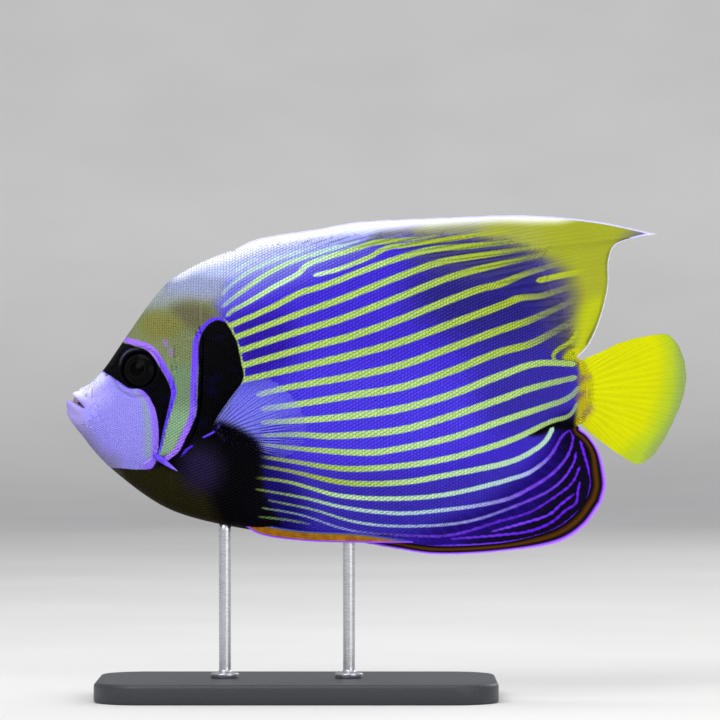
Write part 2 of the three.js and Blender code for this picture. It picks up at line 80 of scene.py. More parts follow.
SIDES = (("right", 1), ("left", -1))  # the name of each side and the sign of y there


# Smooth steps and lines

def smoothstep(value, low, high):
    t = np.clip((np.asarray(value, float) - low) / (high - low), 0, 1)
    return t * t * (3 - 2 * t)


def blend(a, b, t):
    return a + (b - a) * t


def smooth_line(points):
    """Smooth curve through a few points, read at any x."""
    xs, ys = np.array(points, float).T
    span = np.diff(xs)
    slopes = np.gradient(ys, xs)
    slopes[1:-1] = (ys[2:] - ys[:-2]) / (xs[2:] - xs[:-2])

    def line(x):
        x = np.asarray(x, float)
        i = np.clip(np.searchsorted(xs, x, side="right") - 1, 0, len(span) - 1)
        t = np.clip((x - xs[i]) / span[i], 0, 1)
        start = ys[i] * (2 * t**3 - 3 * t**2 + 1) + slopes[i] * span[i] * (t**3 - 2 * t**2 + t)
        end = ys[i + 1] * (3 * t**2 - 2 * t**3) + slopes[i + 1] * span[i] * (t**3 - t**2)
        return start + end

    return line


def curve(points, step=1.0, closed=False):
    """Close points along the smooth line through a few points."""
    p = np.array(points, float)
    if closed:
        p = np.vstack([p[-1], p, p[:2]])
    else:
        p = np.vstack([2 * p[0] - p[1], p, 2 * p[-1] - p[-2]])
    out = []
    for a, b, c, d in zip(p[:-3], p[1:-2], p[2:-1], p[3:]):
        before, between, after = (max(np.linalg.norm(v) ** 0.5, 1e-6) for v in (b - a, c - b, d - c))
        start = ((b - a) / before - (c - a) / (before + between) + (c - b) / between) * between
        end = ((c - b) / between - (d - b) / (between + after) + (d - c) / after) * between
        count = max(2, int(np.ceil(np.linalg.norm(c - b) / step)))
        t = np.arange(count)[:, None] / count
        out.append(b * (2 * t**3 - 3 * t**2 + 1) + start * (t**3 - 2 * t**2 + t)
                   + c * (3 * t**2 - 2 * t**3) + end * (t**3 - t**2))
    out.append(p[-2][None])
    return np.vstack(out)


def along(line, places):
    """Points at shares of a line's length."""
    reach = np.append(0, np.cumsum(np.linalg.norm(np.diff(line, axis=0), axis=1)))
    at = np.asarray(places, float) * reach[-1]
    return np.stack([np.interp(at, reach, line[:, k]) for k in range(line.shape[1])], -1)


def nearest(places, line, reach):
    """Distance from each place to a line, up to reach, and the share of the line where it is nearest."""
    distance = np.full(len(places), float(reach))
    share = np.zeros(len(places))
    inside = np.all((places > line.min(0) - reach) & (places < line.max(0) + reach), axis=1)
    near = np.flatnonzero(inside)
    start, step = line[:-1], np.diff(line, axis=0)
    square = np.maximum((step**2).sum(1), 1e-12)
    for part in np.array_split(near, len(near) * len(step) // 3_000_000 + 1):
        px = places[part, 0, None] - start[:, 0]
        pz = places[part, 1, None] - start[:, 1]
        t = np.clip((px * step[:, 0] + pz * step[:, 1]) / square, 0, 1)
        gap = (px - t * step[:, 0]) ** 2 + (pz - t * step[:, 1]) ** 2
        best = gap.argmin(1)
        row = np.arange(len(part))
        distance[part] = np.minimum(np.sqrt(gap[row, best]), reach)
        share[part] = (best + t[row, best]) / len(step)
    return distance, share


def within(places, outline):
    """Whether each place lies inside a closed outline."""
    inside = np.zeros(len(places), bool)
    near = np.flatnonzero(np.all((places > outline.min(0)) & (places < outline.max(0)), axis=1))
    x, z = places[near].T
    odd = np.zeros(len(near), bool)
    for (xa, za), (xb, zb) in zip(outline, np.roll(outline, -1, axis=0)):
        if za == zb:
            continue
        crosses = (za > z) != (zb > z)
        odd ^= crosses & (x < (xb - xa) * (z - za) / (zb - za) + xa)
    inside[near] = odd
    return inside


def depth_in(places, outline, reach):
    """Signed distance to a closed outline: negative inside, and never beyond reach."""
    distance, _ = nearest(places, np.vstack([outline, outline[:1]]), reach)
    return np.where(within(places, outline), -distance, distance)


# The body's surface, from the same lines as the solids

back_line = smooth_line([
    (-156, 151.5), (-149, 154.8), (-143.5, 157.8), (-136.5, 165), (-126.5, 179.5),
    (-113.5, 198), (-103.5, 209), (-88.5, 217.8), (-70, 224.5), (-38.5, 227.5),
    (-10, 226), (20, 221), (50, 210), (75, 195.5), (91, 180.5), (98, 172), (104, 168.4),
    (110, 168.4)])
belly_line = smooth_line([
    (-156, 137.5), (-149, 132.6), (-142.5, 124.4), (-133.5, 115), (-113.5, 99.5), (-98.5, 92),
    (-75, 86), (-45, 81.5), (-10, 80), (11.5, 81.5), (36.5, 88), (61.5, 100.5), (81.5, 118),
    (98, 134.5), (104, 137.6), (110, 137.6)])
half_width = smooth_line([
    (-156, 5.8), (-149, 7), (-141, 9.6), (-128, 13.8), (-113, 18), (-98, 21), (-75, 23),
    (-45, 22.6), (-10, 20), (30, 15.6), (60, 11.2), (85, 7.2), (97, 4.5), (102, 2.9), (108, 0.7)])
back_keel = smooth_line([
    (-156, 0.85), (-130, 0.95), (-110, 1.05), (-70, 1.3), (-30, 1.5), (110, 1.5)])
belly_keel = smooth_line([
    (-156, 0.85), (-110, 0.85), (-60, 0.95), (-10, 1.3), (25, 1.5), (110, 1.5)])

FIN_BLEND = 2.6  # how softly flesh and fin run into each other
FIN_FOOT = {"dorsal": 1.05, "anal": 1.0}  # half thickness of the fins at the flesh


def fin_foot(x, sine):
    """Half thickness of the fin that stands on the flesh near the top or bottom of a section."""
    dorsal = FIN_FOOT["dorsal"] * smoothstep(x, -74, -56) * smoothstep(sine, 0.75, 1)
    anal = FIN_FOOT["anal"] * smoothstep(x, -8, 14) * smoothstep(-sine, 0.75, 1)
    return dorsal + anal


def flesh(x, angle):
    x, angle = np.broadcast_arrays(np.asarray(x, float), np.asarray(angle, float))
    back, belly = back_line(x), belly_line(x)
    sine, side = np.sin(angle), np.cos(angle)
    keel = np.where(sine > 0, back_keel(x), belly_keel(x))
    t = np.clip((x - NOSE_X) / NOSE_ROUND, 0, 1)
    rounding = np.sqrt(1 - (1 - t) ** 2)
    y = half_width(x) * np.abs(side) ** keel * rounding
    y = (y**FIN_BLEND + fin_foot(x, sine) ** FIN_BLEND) ** (1 / FIN_BLEND)
    z = (back + belly) / 2 + (back - belly) / 2 * sine * rounding
    return np.stack([x, y * np.sign(side), z], -1)


def unit(v):
    return v / np.maximum(np.linalg.norm(v, axis=-1, keepdims=True), 1e-9)


def outward(surface, x, angle, step=2e-3, turn=2e-3):
    """Outward normal and rearward direction of a surface, read over a step in x and a turn round it."""
    round_it = surface(x, angle + turn) - surface(x, angle - turn)
    rearward = surface(x + step, angle) - surface(x - step, angle)
    return -unit(np.cross(rearward, round_it)), unit(rearward)


def side_y(x, z):
    """Half width of the body at a place seen from the side."""
    back, belly = back_line(x), belly_line(x)
    sine = np.clip((z - (back + belly) / 2) / ((back - belly) / 2), -1, 1)
    return flesh(x, np.arcsin(sine))[..., 1]


def side_normal(x, z):
    step = 0.5
    slope_x = (side_y(x + step, z) - side_y(x - step, z)) / (2 * step)
    slope_z = (side_y(x, z + step) - side_y(x, z - step)) / (2 * step)
    return unit(np.stack([-slope_x, np.ones_like(slope_x), -slope_z], -1))


# Relief of the head: folds, lips, orbit, nostrils and gill covers, as lift along the normal

GILL_EDGE = curve([(-88.9, 184.5), (-87.4, 180), (-87.6, 164), (-88.2, 150), (-90.2, 137),
                   (-95, 127.5), (-100, 121.5), (-103.5, 118.5)])
CHEEK_EDGE = curve([(-99.5, 171), (-101.5, 160), (-102.6, 149), (-104.6, 139), (-107, 129.5),
                    (-110, 122.5), (-117, 118)])
FOLDS = [  # line on the head, depth and half width of the fold
    ([(-141.5, 158.2), (-142.9, 154.5), (-143, 150.5), (-144.6, 146.6)], 0.4, 0.8),
    ([(-141.2, 147.6), (-139.8, 142), (-138.6, 136)], 0.2, 1.5),
    ([(-149.5, 137.2), (-144.5, 139.4), (-141, 142.4)], 0.25, 1.3),
    ([(-137, 157), (-131.5, 152.5), (-125, 149.8), (-116, 149)], 0.2, 2.0),
]
FOLD_REACH = 8
MOUTH_GAP = (0.35, 1.15)  # half height of the open mouth, at its corner and in front
MOUTH_DEPTH = (1.2, 4.2)
MOUTH_OPENS = (-0.12, 0.1)  # shares of the line of the mouth over which it opens
LIPS_RISE = (-0.25, 0.25)
LIP_EDGE = (-0.25, 0.45)  # from the edge of the gap: where the lips start and where they are full
# Rims and furrows: distance of the middle, half width and lift
LIP_RIMS = [(2.5, 1.25, 0.75), (-2.9, 1.5, 0.85), (5.0, 0.8, -0.3), (-6.2, 1.0, -0.35)]
ORBIT_RIMS = [(ORBIT_RADIUS + 0.2, 0.75, 0.75), (12.2, 1.6, 0.35)]
NOSTRIL_RIMS = [(1.05, 0.38, 0.4), (0, 0.62, -1.3)]
GILL_SLIT = (0.4, 0.7, -0.7)
CHEEK_FURROW = (0.6, 1.0, -0.15)
ORBIT_SINK = 3.4
ORBIT_WALL = (ORBIT_RADIUS - 1.5, ORBIT_RADIUS - 0.2)
# half width of the painted shade in each nostril
NOSTRIL_SHADE = 0.7
GILL_PLATE = {"lift": 1.0, "reach": 17}
CHEEK_PLATE = {"lift": 0.3, "reach": 9}


def mouth_place(x, z):
    """Signed distance from the line of the mouth, and the share of it from corner to front."""
    corner, front = np.array(MOUTH_CORNER), np.array(MOUTH_FRONT)
    length = np.linalg.norm(front - corner)
    way = (front - corner) / length
    share = ((x - corner[0]) * way[0] + (z - corner[1]) * way[1]) / length
    above = (x - corner[0]) * way[1] - (z - corner[1]) * way[0]
    return above, share


def bump(distance, half):
    return np.exp(-((distance / half) ** 2))


def rims(distance, shapes):
    """Lift of several rims or furrows at a distance from the line that they follow."""
    return sum(high * bump(distance - middle, half) for middle, half, high in shapes)


def fade_at_ends(share, clear, power):
    """Strength along a line, which falls off towards both of its ends."""
    return np.sin(np.pi * np.clip(share, clear, 1 - clear)) ** power


def relief(x, z):
    """Lift of the head's skin, and how much painted shade its hollows get there."""
    shape = np.shape(x)
    x, z = np.ravel(x), np.ravel(z)
    place = np.stack([x, z], -1)
    # painted shade: how dark the open mouth, the sunken orbit, the nostrils and the gill slit are painted
    lift = np.zeros(len(x))
    hollow_shade = np.zeros(len(x))
    for points, depth, half in FOLDS:
        distance, share = nearest(place, curve(points), FOLD_REACH)
        lift -= depth * bump(distance, half) * fade_at_ends(share, 0.02, 0.5)

    above, share = mouth_place(x, z)
    forward = np.clip(share, 0, 1)
    gap = blend(*MOUTH_GAP, forward)
    in_gap = 1 - smoothstep(np.abs(above), gap + LIP_EDGE[0], gap + LIP_EDGE[1])
    open_here = smoothstep(share, *MOUTH_OPENS) * in_gap
    lift -= open_here * blend(*MOUTH_DEPTH, forward)
    lift += smoothstep(share, *LIPS_RISE) * rims(above, LIP_RIMS)
    hollow_shade = np.maximum(hollow_shade, open_here)

    from_eye = np.hypot(x - EYE_X, z - EYE_Z)
    sink = 1 - smoothstep(from_eye, *ORBIT_WALL)
    lift += rims(from_eye, ORBIT_RIMS) - ORBIT_SINK * sink
    hollow_shade = np.maximum(hollow_shade, 0.9 * sink)

    for nostril_x, nostril_z in NOSTRILS:
        distance = np.hypot(x - nostril_x, z - nostril_z)
        lift += rims(distance, NOSTRIL_RIMS)
        hollow_shade = np.maximum(hollow_shade, bump(distance, NOSTRIL_SHADE))

    reach = GILL_PLATE["reach"]
    distance, share = nearest(place, GILL_EDGE, reach + 1)
    behind = x > np.interp(z, GILL_EDGE[::-1, 1], GILL_EDGE[::-1, 0])
    strength = fade_at_ends(share, 0.03, 0.4)
    plate = GILL_PLATE["lift"] * (1 - smoothstep(distance, 0, reach))
    lift += strength * np.where(behind, rims(distance, [GILL_SLIT]), plate) * (distance <= reach)
    hollow_shade = np.maximum(hollow_shade, 0.85 * strength * behind * bump(distance - 0.25, 0.5))

    reach = CHEEK_PLATE["reach"]
    distance, share = nearest(place, CHEEK_EDGE, reach + 1)
    ahead = x < np.interp(z, CHEEK_EDGE[::-1, 1], CHEEK_EDGE[::-1, 0])
    plate = CHEEK_PLATE["lift"] * (1 - smoothstep(distance, 0, reach))
    furrow = rims(distance, [CHEEK_FURROW])
    lift += fade_at_ends(share, 0.03, 0.5) * np.where(ahead, plate, furrow) * (distance <= reach)
    return lift.reshape(shape), hollow_shade.reshape(shape)


def skin(x, angle):
    """Point of the skin as it shows."""
    point = flesh(x, angle)
    normal, _ = outward(flesh, x, angle)
    raised, _ = relief(point[..., 0], point[..., 2])
    return point + normal * (raised - COAT_DEPTH)[..., None]


ROUND_STEPS = 361  # places round one side at which its length is read


def side_reach(x):
    """Angles from belly to back, and the length round one side up to each of them, for each x."""
    angles = np.linspace(-np.pi / 2, np.pi / 2, ROUND_STEPS)
    points = flesh(x[:, None], angles[None])
    lengths = np.linalg.norm(np.diff(points, axis=1), axis=2)
    return angles, np.concatenate([np.zeros((len(x), 1)), np.cumsum(lengths, axis=1)], axis=1)


def section_angles(x, shares):
    """Angles from belly to back at shares of the length round one side, for each x."""
    angles, reach = side_reach(x)
    return np.array([np.interp(shares * r[-1], r, angles) for r in reach])


# Markings, seen from the side and the same on both sides

def linear(colour):
    """Light values of colours given as they are seen, 0 to 255."""
    c = np.asarray(colour, float) / 255
    return np.where(c <= 0.04045, c / 12.92, ((c + 0.055) / 1.055) ** 2.4)


def srgb(r, g, b):
    return linear((r, g, b))


FLANK = (66, 46, 212)
THROAT = [(-90, 138), (-78, 138.6), (-72, 137), (-65, 133.6), (-59, 129.6), (-56.8, 125), (-56.6, 119),
          (-58, 113), (-61, 107), (-64, 101), (-65.4, 94), (-69, 85), (-72, 80), (-82, 98), (-86, 118)]
THROAT_SOFT = 5
GROUND = [  # colour, softness and outline of each broad patch, later ones over earlier ones
    # flank
    ((78, 60, 232), 14, [(-45, 160), (0, 168), (45, 160), (55, 135), (10, 114), (-40, 118)]),
    ((56, 46, 166), 14, [(55, 190), (95, 185), (100, 150), (95, 135), (60, 135), (50, 160)]),
    ((44, 38, 132), 14, [(16, 206), (44, 222), (80, 222), (95, 200), (80, 182), (50, 178), (26, 188)]),
    ((70, 64, 112), 8, [(84, 214), (100, 214), (106, 200), (102, 184), (98, 172), (90, 174), (84, 188)]),
    ((46, 24, 164), 8, [(-72, 190), (-45, 192), (-42, 172), (-62, 160), (-70, 170)]),
    ((118, 118, 222), 8, [(-80, 194), (-64, 200), (-44, 208), (-20, 217), (0, 226), (0, 232), (-40, 226),
     (-70, 218), (-84, 208)]),
    ((176, 184, 244), 5, [(-92, 208), (-74, 209), (-55, 215), (-30, 223), (-5, 229), (14, 232), (16, 238),
     (-40, 234), (-80, 224)]),
    ((62, 48, 184), 9, [(-50, 112), (0, 112), (40, 112), (70, 118), (75, 95), (30, 76), (-40, 86)]),
    ((24, 14, 108), 9, [(-66, 128), (-52, 122), (-42, 110), (-36, 94), (-38, 82), (-66, 78)]),
    # anal fin
    ((30, 8, 116), 7, [(14, 76), (50, 94), (70, 108), (84, 124), (90, 140), (118, 134), (122, 104),
     (106, 76), (60, 64), (16, 66)]),
    ((7, 2, 26), 6, [(44, 76), (72, 88), (86, 102), (92, 116), (95, 140), (118, 134), (122, 104),
     (106, 78), (60, 66)]),
    ((2, 1, 6), 1.4, [(76, 131.5), (84, 136.8), (90, 138.6), (98, 138.4), (104, 134.6), (109, 128),
     (106, 125.6), (100, 131), (95, 134), (88, 134.2), (82, 131.6)]),
    # upper edge and soft dorsal fin
    ((66, 62, 126), 8, [(16, 222), (42, 234), (92, 236), (98, 216), (70, 212), (42, 210)]),
    ((112, 112, 128), 3, [(-4, 229), (20, 232), (44, 233.5), (44, 237), (0, 233)]),
    ((140, 144, 104), 4, [(18, 232), (40, 231.5), (66, 230), (84, 226), (84, 241), (24, 239)]),
    ((152, 158, 62), 6, [(52, 232), (70, 227), (90, 218), (112, 216), (118, 240), (60, 241)]),
    ((152, 158, 40), 8, [(82, 240), (142, 240), (122, 224), (122, 205), (118, 188), (106, 171), (99, 171),
     (98, 184), (99, 198), (96, 210), (88, 222)]),
    ((176, 186, 22), 5, [(103, 196), (112, 200), (106, 180), (101, 169), (95, 170), (99, 178)]),
    ((184, 190, 22), 0.8, [(92.5, 169.6), (100.5, 169.6), (101.5, 174), (97.4, 174.6), (94, 172)]),
    ((112, 120, 36), 0.5, [(129, 230.7), (119.2, 226.6), (115, 219.4), (114.6, 206), (110.6, 189.2),
     (104.6, 176.4), (104.2, 176.8), (110, 189.4), (114, 206.1), (114.4, 219.8), (118.8, 227.2),
     (128.8, 231.3)]),
    # nape and gill cover
    ((118, 128, 88), 3.5, [(-134, 178), (-126, 186), (-112, 204), (-98, 214), (-86, 208), (-80, 196),
     (-78, 187), (-86, 184), (-89, 176), (-88, 150), (-92, 133), (-104, 116), (-112, 118), (-120, 160)]),
    ((140, 148, 150), 4, [(-126, 188), (-108, 208), (-95, 216), (-80, 214), (-78, 200), (-95, 197),
     (-112, 194)]),
    ((146, 154, 192), 4, [(-112, 205), (-98, 216), (-80, 216), (-78, 202), (-96, 202)]),
    ((178, 190, 236), 3, [(-105, 208.6), (-91, 212), (-80, 210), (-68, 214), (-74, 225), (-92, 220)]),
    ((246, 249, 255), 3, [(-100, 209.4), (-88, 214.6), (-80, 216.6), (-70, 219.6), (-57, 224.2),
     (-28, 230.4), (-12, 233), (30, 236.2), (60, 238), (96, 238.8), (106, 244), (-20, 250), (-80, 238),
     (-112, 214)]),
    ((100, 98, 72), 4, [(-102, 195), (-88, 197), (-80, 191), (-82, 185), (-96, 186)]),
    ((122, 122, 64), 4, [(-118, 191), (-104, 192), (-97, 188), (-99, 181), (-116, 181)]),
    ((114, 142, 108), 6, [(-106, 164), (-88, 164), (-88, 144), (-106, 144)]),
    ((134, 170, 134), 5, [(-108, 143), (-89, 143), (-90, 130), (-102, 118), (-110, 120)]),
    ((164, 174, 176), 1.8, [(-128, 180), (-118, 192), (-106, 206), (-112, 208), (-132, 186)]),
    ((140, 122, 160), 0.9, [(-107, 178.5), (-105, 179.6), (-103.6, 176.4), (-105.4, 175.2)]),
    ((140, 122, 160), 0.9, [(-103.8, 174.6), (-102.4, 175.4), (-101, 171.4), (-102.6, 170.4)]),
    # throat, belly and breast
    ((5, 3, 12), 2.5, [(-110, 119), (-100, 123), (-95, 134), (-84, 139), (-70, 138), (-62, 130),
     (-58, 116), (-55, 100), (-48, 86), (-58, 74), (-90, 78), (-114, 100)]),
    ((34, 31, 8), 1.6, [(-150, 116), (-133, 116.5), (-112, 115), (-104, 117), (-96, 112), (-84, 104),
     (-72, 92), (-64, 76), (-110, 70), (-150, 96)]),
    ((66, 62, 56), 2, [(-134, 116), (-127, 113.5), (-127, 108), (-136, 112)]),
    ((3, 2, 6), 1.2, [(-104.6, 119.4), (-99.6, 124.2), (-96.6, 130.4), (-94.4, 135), (-91, 140),
     (-80, 140), (-80, 118), (-92, 115), (-104, 116)]),
    ((2, 1, 5), THROAT_SOFT, THROAT),
    ((33, 25, 58), 7, [(-97, 121), (-90, 126.5), (-81, 124), (-77, 115), (-82, 104), (-94, 106)]),
    # root of the tail fin
    ((190, 180, 30), 1.6, [(100.4, 172), (101, 163), (100.6, 152), (99.4, 142), (99.6, 136), (112, 134),
     (112, 172)]),
    ((128, 96, 120), 1.8, [(99.4, 159), (101.4, 160.4), (104, 161), (102, 158)]),
    ((128, 96, 120), 1.8, [(98.8, 149.4), (101.4, 152.6), (103.6, 153), (101, 149.4)]),
]

TAIL_GROUND = (200, 204, 2)
TAIL_PATCHES = [
    ((186, 180, 26), 4, [(98, 172), (104, 168), (106, 154), (104, 138), (98, 136)]),
    ((166, 142, 92), 2, [(101, 158.6), (104, 161.4), (107, 161), (104, 158)]),
    ((160, 140, 84), 2.4, [(100, 150), (104, 154), (106, 152), (102, 147.6)]),
    ((170, 150, 80), 2.6, [(101, 142), (107, 147), (108, 144), (103, 140)]),
    ((164, 186, 44), 6, [(140, 192), (144, 176), (144, 160), (141, 146), (134, 132), (122, 120),
     (126, 106), (172, 110), (172, 192)]),
    ((138, 158, 84), 3, [(150, 192), (150, 172), (150.5, 160), (148, 146), (142, 133), (134, 121),
     (132, 106), (172, 110), (172, 192)]),
]

FACE_GROUND = (150, 143, 242)
FACE_PATCHES = [
    ((158, 147, 216), 3, [(-158, 150), (-150, 149.5), (-147, 143), (-145, 137), (-150, 131), (-160, 138)]),
    ((140, 133, 184), 4, [(-154, 137), (-146, 136), (-137, 124), (-129, 120), (-130, 110), (-158, 122)]),
    ((170, 162, 248), 4, [(-146, 152), (-134, 155), (-132, 149), (-142, 145)]),
    # painted highlight on the top of the upper lip and snout, where the light falls
    ((222, 223, 253), 3.5, [(-154, 151), (-145, 151.5), (-139, 155.5), (-135, 160), (-138, 166),
     (-150, 164)]),
    ((146, 160, 196), 1.5, [(-121, 154), (-117.3, 149.5), (-116.3, 142), (-115.6, 133), (-115.4, 121),
     (-111.5, 120), (-111.8, 132), (-112.6, 141), (-114.4, 148), (-118, 153)]),
    ((150, 112, 252), 1, [(-119, 153.8), (-115, 150), (-113, 145), (-112, 139), (-111.6, 132),
     (-111.8, 124), (-113, 118.4), (-117, 116.4), (-104, 110), (-104, 124), (-106, 140), (-110, 150),
     (-116, 156)]),
    ((104, 84, 214), 0.7, [(-142, 166), (-136, 162.6), (-131, 159.6), (-125.5, 155.6), (-121, 154.4),
     (-121, 157), (-130, 164), (-140, 168)]),
]

TINT_STOPS = [  # place on the stripes' ramp and its colour
    (0.0, srgb(160, 166, 30)), (0.15, srgb(166, 188, 62)), (0.3, srgb(172, 206, 104)),
    (0.45, srgb(192, 232, 156)), (0.6, srgb(196, 232, 226)), (0.7, srgb(190, 206, 252)),
    (0.85, srgb(128, 78, 244)), (1.0, srgb(98, 32, 228)),
]
FULL = (1, 1, 1)
FADING = (1, 1, 0)
STRIPES = [  # points, then width, tint and strength, each in front, in the middle and behind
    ([(-71, 212.5), (-66, 216.5), (-58.5, 220)], (1.2, 1.8, 1.2), (0.58, 0.62, 0.66), (0.3, 0.5, 0.2)),
    ([(-77.5, 201), (-72.5, 206.5), (-63.5, 213), (-57.5, 216), (-51, 219), (-40, 222.6), (-30, 226)],
     (1.6, 2.1, 1.4), (0.46, 0.5, 0.66), (0.3, 0.6, 0.3)),
    ([(-77.5, 195), (-72.5, 199), (-66, 204), (-54.5, 212), (-42.5, 218), (-32.5, 221.5), (-16, 226.6),
     (-8, 229)], (1.9, 2.4, 1.8), (0.34, 0.48, 0.64), (0.4, 0.85, 0.4)),
    ([(-75, 190.5), (-72.5, 193), (-63.5, 198), (-51, 205.5), (-43.5, 209.5), (-38.5, 212.5), (-36, 215.5),
     (-32.5, 217.5), (-16, 223), (-9.5, 225), (-3.5, 227.2), (4, 228.2), (21.5, 230), (31.5, 231.4)],
     (2.0, 2.6, 1.1), (0.28, 0.5, 0.5, 0.2, 0.04), (0.7, 1, 0.4)),
    ([(-32, 211), (-23.5, 213), (-18.5, 214.5), (-9.5, 218), (-3.5, 220.5), (1.5, 223.5), (6.5, 225.5),
     (11.5, 226), (21.5, 227.5), (36.5, 229.5), (51.5, 231.7), (66.5, 233.5)], (2.0, 2.4, 1.3),
     (0.52, 0.3, 0.1, 0.02), (1, 1, 0.3)),
    ([(-75.5, 185), (-53.5, 194.5), (-38.5, 202.2), (-26, 206.2), (4, 217.6), (26.5, 224), (46.5, 226),
     (82, 229.5)], (2.6, 3.0, 1.7), (0.26, 0.34, 0.0), FADING),
    ([(-73, 179.2), (-38.5, 192), (-18.5, 199), (11.5, 210.8), (31.5, 217.8), (61.5, 222.7), (90, 227.3)],
     (2.7, 3.2, 1.9), (0.26, 0.3, 0.0), FADING),
    ([(-71, 172.6), (-38.5, 183.2), (-18.5, 189.2), (11.5, 200.5), (36.5, 210.3), (61.5, 217), (94, 224)],
     (2.8, 3.3, 2.0), (0.28, 0.3, 0.0), FADING),
    ([(-69, 165.6), (-38.5, 174.2), (-13.5, 180.7), (11.5, 189.2), (36.5, 199), (51.5, 204.5), (61.5, 207),
     (74, 212), (98, 219)], (2.8, 3.5, 2.2), (0.28, 0.3, 0.0), FADING),
    ([(-69, 158.4), (-38.5, 165.4), (-13.5, 171.2), (11.5, 177.9), (36.5, 186.9), (61.5, 196), (71.5, 200),
     (81.5, 201), (102, 207.5)], (2.8, 3.6, 2.6), (0.3, 0.3, 0.0), FADING),
    ([(79.5, 208.5), (89, 210.5), (105, 214)], (2.6, 2.8, 1.8), (0.1, 0.05, 0.0), FADING),
    ([(-60, 151.5), (-46.5, 154.9), (-13.5, 160.8), (11.5, 166.3), (36.5, 175), (61.5, 184), (76.5, 189),
     (101, 200)], (2.6, 3.6, 2.8), (0.34, 0.32, 0.04), FADING),
    ([(-58, 144.6), (-38.5, 147.2), (-13.5, 151.3), (11.5, 155.4), (36.5, 163.4), (61.5, 173), (76.5, 177),
     (86.5, 182), (101.5, 190.5)], (2.6, 3.6, 3.0), (0.36, 0.36, 0.06), FADING),
    ([(-58, 138), (-36, 139.2), (-13.5, 141.2), (11.5, 144.8), (36.5, 151.7), (61.5, 161.3), (80, 167.3),
     (99.6, 167)], (2.4, 3.5, 2.6), (0.38, 0.4, 0.3), FULL),
    ([(-58, 131.6), (-38.5, 132), (-23.5, 131.2), (11.5, 134.3), (36.5, 141.1), (61.5, 149.5),
     (76.5, 154.8), (100, 160.6)], (2.0, 3.4, 2.6), (0.32, 0.42, 0.3), (0.8, 1, 0.7)),
    ([(-60, 127.5), (-38.5, 125), (-3.5, 123), (11.5, 125), (36.5, 130.3), (66.5, 140.1), (81.5, 145),
     (96, 150.4), (101.4, 156)], (1.6, 3.1, 2.4), (0.24, 0.46, 0.3), (0.7, 1, 0.5)),
    ([(-61, 121.6), (-44, 119), (-16, 115), (11.5, 116.3), (36.5, 120.3), (66.5, 129), (86.5, 138.2),
     (96.4, 141.6), (100.4, 148)], (1.4, 2.9, 1.6), (0.1, 0.46, 0.32), (0.6, 1, 0.5)),
    ([(-61, 117), (-44, 114), (-16, 108), (11.5, 108), (36.5, 112), (66.5, 118.3), (76.5, 122.8),
     (84, 128.5), (88, 135.5)], (1.2, 2.7, 2.2), (0.0, 0.44, 0.56), (0.5, 1, 1)),
    ([(-61.5, 110.8), (-44, 108.4), (-18.5, 101.5), (11.5, 100), (36.5, 102.3), (66.5, 109.5), (76.5, 113),
     (86.5, 121), (93, 131.5), (96.5, 134)], (1.2, 2.2, 1.1), (0.04, 0.48, 0.5, 0.62, 1.0), (0.5, 1, 1)),
    ([(-61, 105), (-36, 100.4), (-16, 95.5), (11.5, 92.5), (36.5, 94.5), (51.5, 96.5), (66.5, 100),
     (77.5, 105.5), (88, 112.5), (95.5, 121.5), (98, 130.5), (96.5, 134)], (1.0, 1.8, 1.0),
     (0.15, 0.56, 0.62, 0.84, 1.0), (0.4, 0.9, 1)),
    ([(-54.5, 99.4), (-31, 94.3), (-11, 88.3), (11.5, 86), (44, 88), (66.5, 95), (86.5, 104), (93, 109.5),
     (98.5, 118), (99.5, 123)], (0.9, 1.3, 0.9), (0.3, 0.62, 0.8, 1.0), (0.35, 0.8, 1)),
    ([(-57.5, 95.5), (-38.5, 92), (-13.5, 84), (11.5, 81.5), (36.5, 81.5), (61.5, 88.5), (76.5, 93),
     (88, 100), (97.5, 107.5), (101.5, 116)], (0.8, 1.2, 0.9), (0.5, 0.8, 0.95, 1.0), (0.3, 0.6, 1)),
    ([(56.5, 83), (71.5, 87), (86.5, 92), (91.5, 96.5), (98.5, 102)], (0.8, 1.1, 1.0), (0.9, 0.95, 1.0),
     (0.5, 1, 1)),
    ([(-59.5, 91), (-46, 89.5), (-32.5, 87)], (0.7, 1.1, 0.7), (0.4, 0.4, 0.4), (0.2, 0.3, 0.2)),
    ([(36.5, 79.5), (61.5, 81.5), (76.5, 83.5), (87.5, 88), (94.5, 94), (99.5, 97.5), (100.5, 104),
     (101.5, 108)], (0.8, 1.1, 1.0), (0.92, 1.0, 1.0), (0.4, 0.9, 1)),
    ([(19, 75.5), (61.5, 77.5), (76.5, 80), (89.5, 84.5), (99.5, 92), (104.5, 97.5), (106.5, 104),
     (107, 109), (105, 117), (101.5, 129)], (0.7, 1.1, 1.1), (0.92, 1.0, 1.0), (0.4, 1, 1)),
    ([(-77, 189.6), (-74.2, 187.4), (-71.8, 182.6), (-69.6, 177), (-67.6, 168.6), (-66.4, 161.5),
     (-68.2, 155.6)], (1.0, 1.8, 1.4), (0.12, 0.26, 0.3), (0.6, 0.9, 0.8)),
    ([(102, 186), (99.5, 182), (96.5, 178), (92.5, 175.5), (89.5, 173.5), (88, 171), (88.6, 168.8)],
     (1.6, 2.1, 1.6), (0.02, 0.1, 0.14), (0.4, 1, 0.9)),
]
STRIPE_TAPER = 1.6  # millimetres over which a stripe's ends run to a point

# painted highlight: a pale arc of reflected light along the orbit's upper rim
ORBIT_GLINT = [(-128.4, 165.6), (-127.2, 170), (-124.4, 173.2), (-120.6, 174.6), (-117.6, 174.4)]

